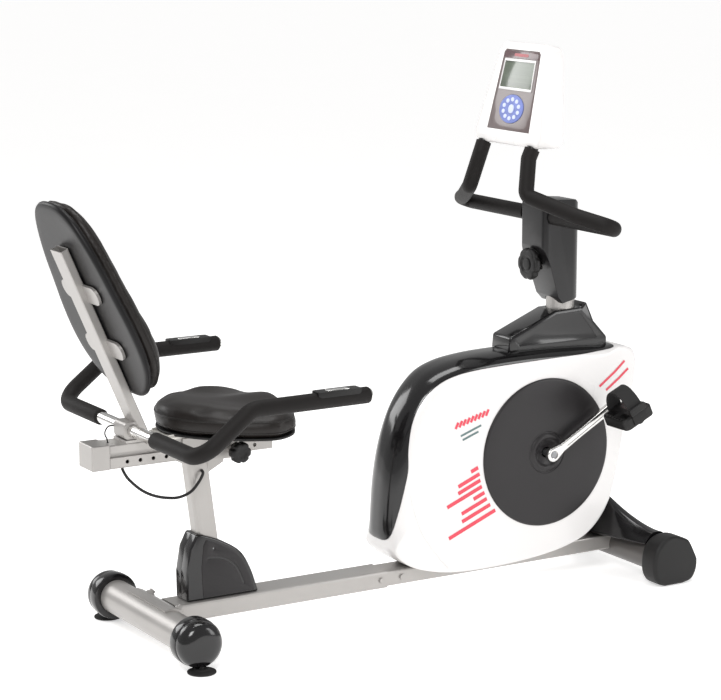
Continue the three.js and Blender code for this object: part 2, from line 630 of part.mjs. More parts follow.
function consoleFace() {
  const lens = [[-58, 120], [58, 120], [55, 178], [-55, 178]];
  const plate = solid(facePlate(panelOutline(0), -3.7, 0.6));
  const window = solid(facePlate(grow(lens, GAP), -2, 3));
  const keys = solid(facePlate(oval(GAP, 32), -2.2, 3));
  add('console_face_panel', shape(cut(plate, window, keys)), finish(0x3a2d2c, 0.25, 0.0));
  add('display_lens', facePlate(lens, -1.7, 1.1), finish(0x7c8a7a, 0.12, 0.0));
  const ring = solid(facePlate(oval(-0.4, 32), -0.6, 2.6));
  const middle = solid(facePlate(arc(0, KEYPAD.v, KEYPAD.inner + 0.6, 0, 342, 19), -2, 4));
  add('keypad_ring', shape(cut(ring, middle)), finish(0x4a5fb0, 0.4, 0.0));
  add('keypad_centre_button', facePlate(arc(0, KEYPAD.v, KEYPAD.inner, 0, 342, 19), -0.6, 3), finish(0xc9d2ee, 0.4, 0.0));
}

// ---------------------------------------------------------------- crank, pedals and the drive inside

function crankSet() {
  const { x, z, armY, length, angle, pedalY } = CRANK;
  const spindle = solid(bar([x, -armY - 6, z], [x, armY + 6, z], 8.5, 16));
  const { radius, y, width } = PULLEY;
  const rim = [
    [8, y - 12], [22, y - 12], [22, y - 3], [radius - 10, y - 3], [radius - 10, y - width / 2], [radius, y - width / 2],
    [radius, y + width / 2], [radius - 10, y + width / 2], [radius - 10, y + 3], [22, y + 3], [22, y + 7], [8, y + 7],
  ];
  const wheel = solid(turned([...rim, rim[0]], [0, 1, 0], [x, 0, z], 28));
  add('crank_spindle_and_pulley', shape(join(spindle, wheel)), steel());
  for (const [name, side] of SIDES) {
    const turn = side < 0 ? angle : angle + Math.PI;
    const [y0, y1] = span(side, armY, armY + 14);
    const end = [x + length * Math.cos(turn), z + length * Math.sin(turn)];
    const along = (d, off) => [
      x + d * Math.cos(turn) - off * Math.sin(turn),
      z + d * Math.sin(turn) + off * Math.cos(turn),
    ];
    const deg = THREE.MathUtils.radToDeg(turn);
    const arm = [
      ...arc(x, z, 16, deg + 90, deg + 270, 6), along(26, -9),
      ...arc(end[0], end[1], 10, deg - 90, deg + 90, 6), along(26, 9),
    ];
    const lever = cut(
      solid(sidePlate(arm, y0, y1, 2.5, 1)),
      solid(bar([x, side * (armY - 1), z], [x, side * (armY + 6 + GAP), z], 8.5 + GAP, 24)),
    );
    const pedalPin = solid(bar([end[0], side * (armY + 7), end[1]], [end[0], side * (pedalY + 39), end[1]], 6, 16));
    add(`crank_arm_${name}`, shape(join(lever, pedalPin)), chrome());
    pedal(name, side, end);
  }
}

// A pedal with a foot strap arching over its tread, resting tipped towards the rider.
function pedal(name, side, [x, z]) {
  const { halfLength, halfWidth, halfDepth, strap, tilt } = PEDAL;
  const tread = solid(layer(roundedRect(halfLength, halfWidth, 12, 3), -halfDepth, halfDepth, 4, 1));
  const windows = [-1, 1].flatMap((end) => [-21, 21].map((offset) =>
    solid(box(end * 23 - 8, end * 23 + 8, offset - 13, offset + 13, -20, 20))));
  const barrel = solid(bar([0, -halfWidth, 0], [0, halfWidth + 0.5, 0], 13, 14));
  const rise = (r, h) => arc(0, 0, 1, 0, 180, 8).map(([u, v]) => [u * r, v * h]);
  const band = [...rise(halfWidth + 3, strap), ...rise(halfWidth, strap - 3).reverse()];
  const loop = solid(run(band, -18, 18)).add(solid(run([[-45, -8], [45, -8], [45, 1], [-45, 1]], -18, 18)));
  const body = join(cut(tread, ...windows), barrel, loop.subtract(solid(box(-20, 20, -41, 41, -20, 1.5))));
  const bore = solid(bar([0, -halfWidth - 20, 0], [0, halfWidth - 2, 0], 6 + GAP, 16));
  const placed = new THREE.Matrix4().makeRotationY(tilt);
  if (side < 0) placed.multiply(new THREE.Matrix4().makeScale(1, -1, 1));
  placed.premultiply(new THREE.Matrix4().makeTranslation(x, side * CRANK.pedalY, z));
  const geometry = shape(cut(body, bore)).applyMatrix4(placed);
  add(`pedal_${name}`, side < 0 ? flipped(geometry) : geometry, rubber());
}

function driveFrame() {
  const { x, z } = CRANK;
  const housingTube = cut(solid(bar([x, -30, z], [x, 30, z], 21, 28)), solid(bar([x, -31, z], [x, 31, z], 8.5 + GAP, 24)));
  const web = sidePlate([[x, z - 14], [x + 20, z - 20], [MAST.x - 20, z - 44], [MAST.x - 20, z + 44], [x + 20, z + 20], [x, z + 14]], -4, 4);
  const mastClear = solid(bar([MAST.x, 0, 100], [MAST.x, 0, 500], MAST.radius + GAP, 36));
  const core = solid(bar([x, -40, z], [x, 40, z], 15, 24));
  add('crank_bearing_housing', shape(cut(join(cut(solid(web), core), housingTube), mastClear)), steel());

  const { x: wheelX, z: wheelZ, radius, axle } = FLYWHEEL;
  const base = BEAM.top + GAP;
  const upright = (top) => [[wheelX - 16, base + 6], [wheelX - 16, top], [wheelX + 16, top], [wheelX + 16, base + 6]];
  const cheeks = [
    solid(sidePlate(upright(wheelZ + 14), -33, -28)),
    solid(sidePlate(upright(wheelZ + radius + 50), 53.5, 57)),
  ];
  const bridge = solid(box(wheelX - 24, IDLER.x + 14, -33, 56, base + 5, BEAM.top + 11));
  const foot = solid(box(wheelX - 24, IDLER.x + 14, -33, 33, base, BEAM.top + 6));
  const spindle = solid(bar([wheelX, -32, wheelZ], [wheelX, 57, wheelZ], axle, 20));
  const arm = [[IDLER.x - 12, BEAM.top + 3], [IDLER.x - 9, IDLER.z + 9], [IDLER.x + 9, IDLER.z + 9], [IDLER.x + 12, BEAM.top + 3]];
  const idlerArm = solid(sidePlate(arm, 28, 33));
  const idlerPin = solid(bar([IDLER.x, 29, IDLER.z], [IDLER.x, 53, IDLER.z], 5, 16));
  const motor = solid(box(wheelX - 26, wheelX + 28, 20, 54, wheelZ + radius + 20, wheelZ + radius + 58));
  const brakePin = solid(bar([BRAKE_PIN.x, -14, BRAKE_PIN.z], [BRAKE_PIN.x, 24, BRAKE_PIN.z], BRAKE_PIN.radius, 16));
  add('flywheel_bracket', shape(join(bridge, foot, ...cheeks, spindle, idlerArm, idlerPin, motor, brakePin)), steel());
}

function flywheel() {
  const { x, z, radius, width, y, pulleyRadius, axle } = FLYWHEEL;
  const near = y - width / 2;
  const far = y + width / 2;
  const bore = axle + GAP;
  const profile = [
    [bore, near - 4], [18, near - 4], [18, near + 8], [radius - 22, near + 8], [radius - 22, near], [radius - 2, near],
    [radius, near + 2], [radius, far - 2], [radius - 2, far], [radius - 22, far], [radius - 22, far - 8], [18, far - 8],
    [18, 30], [13, 34], [13, 38], [pulleyRadius + 2, 38], [pulleyRadius, 39.5], [pulleyRadius, 50.5], [pulleyRadius + 2, 52],
    [bore, 52],
  ];
  add('flywheel', turned([...profile, profile[0]], [0, 1, 0], [x, 0, z], 24), steel());
}

function driveBelt() {
  const big = [CRANK.x, CRANK.z, PULLEY.radius + GAP];
  const small = [FLYWHEEL.x, FLYWHEEL.z, FLYWHEEL.pulleyRadius + GAP];
  const lean = THREE.MathUtils.radToDeg(BELT_LEAN);
  const open = THREE.MathUtils.radToDeg(BELT_OPEN);
  const loop = (extra) => [
    ...arc(big[0], big[1], big[2] + extra, lean - 180 + open, lean + 180 - open, 30),
    ...arc(small[0], small[1], small[2] + extra, lean + 180 - open, lean + 180 + open, 8),
  ];
  add('drive_belt', sidePlate(loop(BELT.thickness), PULLEY.y - BELT.width / 2, PULLEY.y + BELT.width / 2, 0, 1, loop(0)), rubber());
}

// The idler presses the belt's lower run from below.
function idler() {
  const { x, z, radius } = IDLER;
  const profile = [[5 + GAP, 38], [radius, 38], [radius, 52], [5 + GAP, 52]];
  add('belt_idler', turned([...profile, profile[0]], [0, 1, 0], [x, 0, z], 24), steel());
}

// An arc of magnets over the flywheel's rear rim, hung from a pin above it.
function magnetBrake() {
  const { x, z, radius, y } = FLYWHEEL;
  const inner = radius + 3;
  const outer = radius + 16;
  const backing = [...arc(x, z, outer, 96, 168, 14), ...arc(x, z, inner, 168, 96, 14)];
  const shoe = solid(sidePlate(backing, y - 16, y + 16));
  const { x: pinX, z: pinZ } = BRAKE_PIN;
  const ear = solid(sidePlate([[pinX - 22, z + outer - 8], [pinX - 12, pinZ + 9], [pinX + 9, pinZ + 9], [pinX + 9, z + outer - 4]], y - 5, y + 5));
  const pinHole = solid(bar([pinX, y - 20, pinZ], [pinX, y + 20, pinZ], BRAKE_PIN.radius + GAP, 16));
  add('magnet_brake_arm', shape(cut(join(shoe, ear), pinHole)), steel());
}

// ---------------------------------------------------------------- seat post, cradle and sliding rail

// The leaning post as a solid between two heights.
function postSolid(grown, z0, z1) {
  const { topX, topZ, footX, footZ, depth, width } = POST;
  const slope = (topX - footX) / (topZ - footZ);
  const shear = new THREE.Matrix4().set(1, 0, slope, footX - slope * footZ, 0, 1, 0, 0, 0, 0, 1, 0, 0, 0, 0, 1);
  return solid(layer(roundedRect(depth / 2 + grown, width / 2 + grown, 10, 3), z0, z1).applyMatrix4(shear));
}

function seatPost() {
  const { topX, topZ, footZ, depth, wall } = POST;
  const front = topX + depth / 2;
  const bore = postSolid(-wall, footZ - 1, topZ + 1);
  const gusset = solid(sidePlate([[front - 6, 335], [front - 2, 368], [front + 42, 368.5], [front + 42, 360]], -3, 3));
  add('seat_post', shape(join(cut(postSolid(0, footZ, topZ), bore), cut(gusset, bore))), silver());
}

function postCovers() {
  const floor = BEAM.top + GAP;
  const flank = smooth([[103, 219], [143, 203], [189, 173], [212, 135], [230, floor]], 9).slice(1);
  const outer = [[66, floor], [65, 140], [74, 192], [89, 221], [103, 219], ...flank];
  const body = solid(sidePlate(outer, -26, 26, 4, 2));
  const inside = solid(sidePlate(grow(outer, 4), -23, 23));
  const bottom = solid(box(72, 222, -23, 23, 60, 100));
  const post = postSolid(1, 60, POST.topZ);
  for (const [name, side] of SIDES) {
    const [y0, y1] = span(side, GAP / 2, 80);
    const half = solid(box(0, 260, y0, y1, 50, 300));
    add(`post_cover_${name}`, shape(cut(body, inside, bottom, post).intersect(half)), glossBlack());
  }
}

// An open-topped channel on the post; its lips run in the grooves of the rail.
function slideCradle() {
  const { rear, front, wall, top } = CRADLE;
  const inner = RAIL.halfWidth + 0.8;
  const floorTop = RAIL.bottom - 0.8;
  const groove = (GROOVE.bottom + GROOVE.top) / 2;
  const section = [
    [-inner - wall, floorTop - 6], [inner + wall, floorTop - 6], [inner + wall, top], [inner, top], [inner, groove + 4],
    [inner - 6, groove + 4], [inner - 6, groove - 4], [inner, groove - 4], [inner, floorTop], [-inner, floorTop],
    [-inner, groove - 4], [6 - inner, groove - 4], [6 - inner, groove + 4], [-inner, groove + 4], [-inner, top],
    [-inner - wall, top],
  ];
  const { pinX, z } = HOLES;
  const barrel = solid(bar([pinX, -inner - 1, z], [pinX, -PULL_PIN.knobStart + 8, z], 9, 20));
  const bore = solid(bar([pinX, -20, z], [pinX, -80, z], PULL_PIN.radius + 0.4, 16));
  const channel = solid(run(section, rear, front));
  add('slide_cradle', shape(cut(join(channel, barrel), bore)), silver());
}

function pullPin() {
  const { radius, knobRadius, knobStart, knobEnd } = PULL_PIN;
  const { pinX: x, z } = HOLES;
  const profile = [
    [0, 0], [knobRadius - 4, 0], [knobRadius, 3], [knobRadius, knobEnd - knobStart - 4], [knobRadius - 4, knobEnd - knobStart - 1],
    [10, knobEnd - knobStart], [0, knobEnd - knobStart],
  ];
  const knob = solid(turned(profile, [0, -1, 0], [x, -knobStart, z], 30));
  const flutes = Array.from({ length: 6 }, (_, i) => {
    const angle = (Math.PI * i) / 3;
    const [fx, fz] = [x + 25 * Math.cos(angle), z + 25 * Math.sin(angle)];
    return solid(bar([fx, -knobStart + 2, fz], [fx, -knobEnd - 2, fz], 6, 10));
  });
  const pin = solid(bar([x, -RAIL.halfWidth - 0.6, z], [x, -knobStart - 4, z], radius, 16));
  add('pull_pin_knob', shape(join(cut(knob, ...flutes), pin)), rubber());
}

function seatRail() {
  const { rear, front, bottom, top, halfWidth: w, wall } = RAIL;
  const { bottom: g0, top: g1, depth } = GROOVE;
  const half = [[w - 2, bottom], [w, bottom + 2], [w, g0], [w - depth, g0], [w - depth, g1], [w, g1], [w, top - 2], [w - 2, top]];
  const inner = [
    [w - wall, bottom + wall], [w - wall, g0 - wall], [w - depth - wall, g0 - wall], [w - depth - wall, g1 + wall],
    [w - wall, g1 + wall], [w - wall, top - wall],
  ];
  const both = (points) => [...points, ...points.slice().reverse().map(([y, z]) => [-y, z])];
  const beam = solid(run(both(half), rear, front, both(inner)));
  const count = HOLES.last - HOLES.first + 1;
  const holes = Array.from({ length: count }, (_, i) => {
    const x = HOLES.pinX + (HOLES.first + i) * HOLES.pitch;
    return solid(bar([x, -w - 2, HOLES.z], [x, -w + 6, HOLES.z], HOLES.radius + 0.3, 8));
  });
  const wire = solid(bar([-62, 0, bottom - 5], [-62, 0, bottom + 8], 4, 12));
  const wireIn = solid(bar([-92, 0, top + 5], [-92, 0, top - 8], 4, 12));
  add('seat_rail', shape(cut(beam, ...holes, wire, wireIn)), silver());
  const block = layer(roundedRect((rear - GAP - RAIL.blockRear) / 2, w + 2, 3, 2, (rear - GAP + RAIL.blockRear) / 2, 0), bottom, top + 2, 1.5, 1);
  add('rail_end_block', block, silver());
}

// ---------------------------------------------------------------- seat, backrest and side handlebar

function seatBracket() {
  const z = RAIL.top + GAP;
  const plate = solid(box(20, 236, -44, 44, z, z + 4));
  const ribs = [-40, 36].map((y) => solid(box(24, 232, y, y + 4, z + 3, SEAT.bottom - GAP)));
  add('seat_bracket', shape(join(plate, ...ribs)), finish(0x9a9794, 0.5, 0.3));
}

const SEAT_HALF = [
  [SEAT.rear, 0], [SEAT.rear + 10, 52], [SEAT.rear + 37, 100], [SEAT.rear + 80, 144], [SEAT.rear + 128, SEAT.halfWidth - 20],
  [SEAT.rear + 178, SEAT.halfWidth - 3], [SEAT.front - 56, 166], [SEAT.front - 20, 108], [SEAT.front, 44],
];

function seatPad() {
  const plan = smooth([...SEAT_HALF, ...mirrorPlan(SEAT_HALF.slice(1)).reverse()], 36, true).reverse();
  add('seat_pad', cushion(plan, SEAT.bottom, SEAT.top, 20, 16), leather());
}

// Backrest pieces are drawn in the plane of the back: u across, v up the back, w towards the rider.
function backFrame(geometry) {
  const across = new THREE.Vector3(0, 1, 0);
  const up = new THREE.Vector3(-Math.sin(BACK_LEAN), 0, Math.cos(BACK_LEAN));
  const out = across.clone().cross(up);
  const frame = new THREE.Matrix4().makeBasis(across, up, out).setPosition(BACK.x, 0, BACK.z);
  return geometry.applyMatrix4(frame);
}

const BACK_HALF = [
  [0, 0], [64, 3], [112, 30], [146, 72], [BACK.halfWidth - 2, 118], [BACK.halfWidth - 4, 176], [BACK.halfWidth - 16, 236],
  [132, 298], [112, 354], [84, 400], [46, 424], [0, BACK.height],
];
const BACK_OUTLINE = smooth([...BACK_HALF, ...BACK_HALF.slice(1, -1).reverse().map(([u, v]) => [-u, v])], 44, true);

function backrest() {
  const inset = grow(BACK_OUTLINE, -3);
  add('back_shell', backFrame(layer(inset, 0, BACK.shell, 3, 1)), softBlack());
  add('back_pad', backFrame(cushion(BACK_OUTLINE, BACK.shell + GAP, BACK.shell + BACK.pad, 20, 22)), leather());
}

function backPost() {
  const { footX, footZ, topX, topZ, depth, width, wall } = BACK_POST;
  const lean = Math.atan2(footX - topX, topZ - footZ);
  const along = (x, z, t) => [x + Math.cos(lean) * t, z + Math.sin(lean) * t];
  const foot = [footX + Math.sin(lean) * 40, footZ - Math.cos(lean) * 40];
  const profile = (t0, t1, extra) => [
    along(foot[0], foot[1], t0), along(foot[0], foot[1], t1), along(topX - extra * Math.sin(lean), topZ + extra * Math.cos(lean), t1),
    along(topX - extra * Math.sin(lean), topZ + extra * Math.cos(lean), t0),
  ];
  const outer = solid(sidePlate(profile(0, depth, 0), -width / 2, width / 2, 2, 1));
  const inner = solid(sidePlate(profile(wall, depth - wall, 20), -width / 2 + wall, width / 2 - wall));
  const above = solid(box(-400, 200, -80, 80, RAIL.top + GAP, 1000));
  const ears = [113, 235].map((v) => solid(backFrame(layer(roundedRect(80, 19, 18, 4, 0, v), -6, -GAP))));
  const shellClear = solid(backFrame(layer(grow(BACK_OUTLINE, 10), -GAP, 60)));
  const tube = cut(outer.intersect(above), inner);
  const earBodies = ears.map((ear) => cut(ear, inner));
  const plate = solid(box(-66, 18.5, -29, 29, RAIL.top + GAP, RAIL.top + GAP + 5));
  const { x: barX, low } = SIDE_BAR;
  const clamp = solid(sidePlate(roundedRect(19, 17, 8, 3, barX, low), -24, 24));
  const clampWeb = solid(box(barX - 8, footX + 4, -20, 20, RAIL.top + GAP + 1, low + 6));
  const base = cut(join(plate, clamp, clampWeb), inner);
  add('back_post', shape(cut(join(tube, ...earBodies, base), shellClear, barClear())), silver());
}

const barClear = () =>
  solid(bar([SIDE_BAR.x, -80, SIDE_BAR.low], [SIDE_BAR.x, 80, SIDE_BAR.low], SIDE_BAR.tube + GAP, 28));

function sideHandlebar() {
  const { y, x, low, high, bendX, end, tube, foam, bare } = SIDE_BAR;
  const arm = [[end, y, high + 1], [bendX, y, high], [x, y, low]];
  const corners = [...arm, ...mirrorY(arm).reverse()];
  add('side_handlebar_tube', bentTube(corners, 44, tube, 0, 8, 4), chrome());
  for (const [name, side] of SIDES) {
    const path = [[x, bare, low], [x, y, low], [bendX, y, high], [end - 4, y, high + 1]].map(([px, py, pz]) => [px, side * py, pz]);
    add(`side_grip_${name}`, bentTube(path, 44, foam, tube + GAP, 8, 4), softBlack());
    const [y0, y1] = span(side, y - 13, y + 13);
    const plate = solid(box(end - 122, end - 26, y0, y1, high + 8, high + 19.5));
    const clear = solid(bar([bendX, side * y, high], [end, side * y, high + 1], foam + GAP, 24));
    add(`pulse_sensor_${name}`, shape(cut(plate, clear)), chrome());
  }
}

// ---------------------------------------------------------------- wires

// From the side handlebar's grommet into the top of the rail.
function sensorWire() {
  const route = [
    [SIDE_BAR.x - 13.5, 31, 454], [-74, 29, 455], [-86, 20, 451], [-94, 8, 444], [-93, 1, 436], [-92, 0, 428],
  ];
  const path = new THREE.CatmullRomCurve3(route.map((p) => new THREE.Vector3(...p)), false, 'centripetal');
  add('sensor_wire', sweep(path, 12, 1.4, 0, 6), rubber());
}

// The slack lead that crosses from the sliding rail to the fixed seat post.
const SEAT_LEAD = [
  [-62, 0, 380.4], [-61.5, -0.5, 372], [-54, -7, 354], [-40, -13, 338], [-30, -17, 329], [-14, -22, 319], [4, -26, 312],
  [22, -29, 308], [42, -31, 306], [60, -32, 309], [76, -32, 316], [89, -31, 328], [98, -31, 340], [103, -29, 349],
  [104, -21.4, 352.5],
];

function seatLead() {
  const path = new THREE.CatmullRomCurve3(SEAT_LEAD.map((p) => new THREE.Vector3(...p)), false, 'centripetal');
  add('seat_lead', sweep(path, 24, 3, 0, 8), rubber());
}

// ---------------------------------------------------------------- the whole bike

rearBeam();
frontBeam();
footTube('rear_foot_tube', REAR_FOOT, silver());
footTube('front_foot_tube', FRONT_FOOT, darkMetal());
rearCaps();
levelers();
frontCaps();
frontFootCover();
housing();
discCovers();
mastBoot();
mast();
mastHeadCover();
clampKnob();
frontHandlebar();
consoleBody();
consoleFace();
crankSet();
driveFrame();
flywheel();
driveBelt();
idler();
magnetBrake();
seatPost();
postCovers();
slideCradle();
pullPin();
seatRail();
seatBracket();
seatPad();
backrest();
backPost();
sideHandlebar();
sensorWire();
seatLead();

const extent = new THREE.Box3().setFromObject(bike);
bike.position.x = -(extent.min.x + extent.max.x) / 2;

export default bike;
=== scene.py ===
# The look of a recumbent exercise bike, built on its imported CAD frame.
# Shapes are drawn in millimetres: x forward from the rear foot's axis, y to the rider's left, z up.
import math

import bmesh
import bpy
from mathutils import Matrix, Vector
from mathutils.bvhtree import BVHTree


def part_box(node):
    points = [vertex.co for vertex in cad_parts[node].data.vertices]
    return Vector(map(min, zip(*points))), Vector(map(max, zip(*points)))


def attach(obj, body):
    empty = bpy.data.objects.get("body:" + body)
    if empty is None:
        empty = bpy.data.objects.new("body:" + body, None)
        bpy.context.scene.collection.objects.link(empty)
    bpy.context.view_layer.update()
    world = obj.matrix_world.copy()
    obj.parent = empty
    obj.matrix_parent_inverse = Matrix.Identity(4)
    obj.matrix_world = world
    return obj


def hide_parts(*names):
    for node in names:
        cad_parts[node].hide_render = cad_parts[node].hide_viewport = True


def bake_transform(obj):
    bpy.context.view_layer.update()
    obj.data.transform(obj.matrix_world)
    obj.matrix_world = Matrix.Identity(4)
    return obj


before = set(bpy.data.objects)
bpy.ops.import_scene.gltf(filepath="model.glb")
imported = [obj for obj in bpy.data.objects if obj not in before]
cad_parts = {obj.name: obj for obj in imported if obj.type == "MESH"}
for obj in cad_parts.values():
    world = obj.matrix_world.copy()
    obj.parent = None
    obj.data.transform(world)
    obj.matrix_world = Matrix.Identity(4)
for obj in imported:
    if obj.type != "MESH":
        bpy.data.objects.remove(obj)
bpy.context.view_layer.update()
scene = bpy.context.scene
foot_low, foot_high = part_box("rear_foot_tube")
AXIS = (foot_low.x + foot_high.x) / 2

# Driving dimensions, in millimetres.
TUBE_RADIUS = 12.5
FOAM_RADIUS = 16.5
FOOT_RADIUS = 35
REAR_FOOT_Z = 56
FRONT_FOOT_X, FRONT_FOOT_Z = 1155, 57
LEVELER_Y = 214
WHEEL_X, WHEEL_Y, WHEEL_Z = 1206, 188, 26.5
BEAM_HALF, BEAM_LOW, BEAM_TOP = 35.3, 44.7, 82.8
CRANK_X, CRANK_Z, CRANK_LENGTH, CRANK_ANGLE = 920, 300, 170, 30
PEDAL_Y, PEDAL_TILT = 160, -25
MAST_X, MAST_HOLE = 997, 32
CLAMP_Z = 705
BAR_X, BAR_Z = 942, 810
PIN_X, PIN_Z = 164, 393
POST_FOOT_X, POST_TOP_X, POST_TOP_Z = 136.5, 98, 371
CONSOLE_BOTTOM, CONSOLE_TOP = (847, 967), (895, 1182)
ARM_Y, ARM_LOW, ARM_HIGH, ARM_END = 315, 452, 537, 538
SHELL_FACE = 63.35
BACK_LEAN = math.radians(23.5)
BACK_FOOT_X, BACK_FOOT_Z = -45, 520


def place(p):
    return Vector((AXIS + p[0] / 1000, p[1] / 1000, p[2] / 1000))


# ---------------------------------------------------------------- camera, floor and light

camera_data = bpy.data.cameras.new("camera")
camera_data.sensor_width = 36.0
camera_data.lens = 122.3
camera = bpy.data.objects.new("camera", camera_data)
scene.collection.objects.link(camera)
camera.location = place((-2086.4, -4295.5, 1518.6))
aim = place((489.3, 0, 557.4)) - camera.location
camera.rotation_euler = aim.to_track_quat("-Z", "Y").to_euler()
scene.camera = camera
scene.view_settings.view_transform = "Standard"


def area_light(name, at, towards, size, power):
    data = bpy.data.lights.new(name, "AREA")
    data.shape = "RECTANGLE"
    data.size, data.size_y = size
    data.energy = power
    light = bpy.data.objects.new(name, data)
    scene.collection.objects.link(light)
    light.location = place(at)
    light.rotation_euler = (place(towards) - light.location).to_track_quat("-Z", "Y").to_euler()


area_light("key", (-1900, -2600, 3100), (500, 0, 400), (1.5, 1.5), 84)
area_light("side", (2900, -2700, 1500), (700, 0, 500), (1.0, 2.4), 34)
area_light("top", (500, 300, 3600), (500, 0, 500), (2.4, 1.2), 52)
area_light("back", (-1400, 2900, 1900), (300, 0, 500), (1.6, 1.6), 34)

world = bpy.data.worlds.new("studio")
scene.world = world
world.use_nodes = True
world.node_tree.nodes["Background"].inputs["Color"].default_value = (1, 1, 1, 1)
world.node_tree.nodes["Background"].inputs["Strength"].default_value = 0.5


# ---------------------------------------------------------------- materials

def linear(code):
    parts = [((code >> shift) & 255) / 255 for shift in (16, 8, 0)]
    return [c / 12.92 if c <= 0.04045 else ((c + 0.055) / 1.055) ** 2.4 for c in parts]


def material(name, code, rough, metal=0.0, vary=0.08, patch=9.0, grain=600.0, bump=0.02, depth=0.0002,
             spread=0.05, coat=0.0, cells=False, specular=0.5, stretch=None):
    """A finish whose colour and roughness drift in soft patches and whose relief follows a fine grain."""
    mat = bpy.data.materials.new(name)
    mat.use_nodes = True
    nodes, links = mat.node_tree.nodes, mat.node_tree.links
    shader = nodes["Principled BSDF"]
    shader.inputs["Metallic"].default_value = metal
    shader.inputs["Specular IOR Level"].default_value = specular
    shader.inputs["Coat Weight"].default_value = coat
    shader.inputs["Coat Roughness"].default_value = 0.06
    coords = nodes.new("ShaderNodeTexCoord")
    where = coords.outputs["Object"]
    if stretch:
        mapping = nodes.new("ShaderNodeMapping")
        mapping.inputs["Scale"].default_value = stretch
        links.new(where, mapping.inputs["Vector"])
        where = mapping.outputs["Vector"]
    clouds = nodes.new("ShaderNodeTexNoise")
    clouds.inputs["Scale"].default_value = patch
    clouds.inputs["Detail"].default_value = 4
    ramp = nodes.new("ShaderNodeValToRGB")
    base = linear(code)
    ramp.color_ramp.elements[0].position = 0.3
    ramp.color_ramp.elements[1].position = 0.7
    ramp.color_ramp.elements[0].color = [c * (1 - vary) for c in base] + [1]
    ramp.color_ramp.elements[1].color = [min(c * (1 + vary), 1) for c in base] + [1]
    links.new(where, clouds.inputs["Vector"])
    links.new(clouds.outputs["Fac"], ramp.inputs["Fac"])
    links.new(ramp.outputs["Color"], shader.inputs["Base Color"])
    fine = nodes.new("ShaderNodeTexVoronoi" if cells else "ShaderNodeTexNoise")
    fine.inputs["Scale"].default_value = grain
    if cells:
        fine.feature = "SMOOTH_F1"
    links.new(where, fine.inputs["Vector"])
    height = fine.outputs["Distance"] if cells else fine.outputs["Fac"]
    spread_map = nodes.new("ShaderNodeMapRange")
    spread_map.inputs["To Min"].default_value = max(rough - spread, 0.02)
    spread_map.inputs["To Max"].default_value = min(rough + spread, 1)
    links.new(clouds.outputs["Fac"], spread_map.inputs["Value"])
    links.new(spread_map.outputs["Result"], shader.inputs["Roughness"])
    relief = nodes.new("ShaderNodeBump")
    relief.inputs["Strength"].default_value = bump
    relief.inputs["Distance"].default_value = depth
    links.new(height, relief.inputs["Height"])
    links.new(relief.outputs["Normal"], shader.inputs["Normal"])
    return mat


SILVER = material("silver_paint", 0xa6a3a0, 0.36, metal=0.5, grain=1400, bump=0.05, vary=0.05)
DARK_TUBE = material("dark_paint", 0x5c5957, 0.34, metal=0.45, grain=1400, bump=0.05, vary=0.06)
CHROME = material("chrome", 0xdddcda, 0.13, metal=1.0, grain=900, vary=0.03, bump=0.02, spread=0.03)
BRIGHT = material("polished_arm", 0xd2d1cf, 0.22, metal=1.0, grain=500, vary=0.05, bump=0.04,
                  stretch=(1, 6, 6))
STEEL = material("steel", 0x8c8d8f, 0.38, metal=0.9, vary=0.12, grain=500, bump=0.08)
IRON = material("cast_iron", 0x5f6062, 0.45, metal=0.85, vary=0.15, grain=300, bump=0.12)
WHITE = material("white_shell", 0xdddbda, 0.28, vary=0.012, patch=5, grain=1500, bump=0.015, coat=0.35,
                 spread=0.03)
GLOSS = material("gloss_black", 0x111011, 0.16, vary=0.12, grain=1600, bump=0.02, coat=0.3,
                 specular=0.4)
SATIN = material("satin_black", 0x181718, 0.3, vary=0.1, grain=1500, bump=0.05, coat=0.1, specular=0.3)
CHARCOAL = material("charcoal", 0x262425, 0.36, specular=0.3, vary=0.07, patch=6, grain=900, bump=0.06)
MOULDED = material("moulded_black", 0x121111, 0.5, specular=0.35, vary=0.15, grain=700, bump=0.12,
                   spread=0.08)
RUBBER = material("rubber", 0x191818, 0.8, vary=0.15, grain=900, bump=0.2)
FOAM = material("foam", 0x120f0e, 0.62, specular=0.22, vary=0.14, patch=30, grain=1100, bump=0.35,
                depth=0.0004)
HIDE = material("leatherette", 0x1a1614, 0.42, specular=0.28, vary=0.12, patch=14, grain=620,
                bump=0.3, depth=0.0004, cells=True)
PIPING = material("piping", 0x161311, 0.45, specular=0.3, vary=0.12, grain=800, bump=0.25, cells=True)
BACK_PLASTIC = material("back_plastic", 0x141314, 0.38, specular=0.2, vary=0.06, grain=900, bump=0.1)
BRACKET = material("bracket_plastic", 0xc9c6c0, 0.45, vary=0.06, grain=900, bump=0.08)
FACE = material("face_film", 0x584a49, 0.3, vary=0.1, patch=20, grain=1500, bump=0.02, coat=0.4)
DARK_CAP = material("dark_window", 0x4a2d31, 0.22, vary=0.25, patch=60, grain=1500, bump=0.02, coat=0.6)
RED_GLOW = material("red_print", 0x9a3e45, 0.3, vary=0.15, patch=60, grain=1500, bump=0.02)
KEY_BLUE = material("keys_blue", 0x6a78b8, 0.4, vary=0.12, patch=50, grain=1200, bump=0.05)
KEY_PALE = material("keys_pale", 0xc3cbe8, 0.4, vary=0.05, patch=50, grain=1200, bump=0.05)
RED = material("red_stripe", 0xd5394e, 0.35, vary=0.06, patch=20, grain=1500, bump=0.02, coat=0.2)
GREY_GREEN = material("slate_print", 0x5c7272, 0.4, vary=0.1, patch=60, grain=1500, bump=0.02)


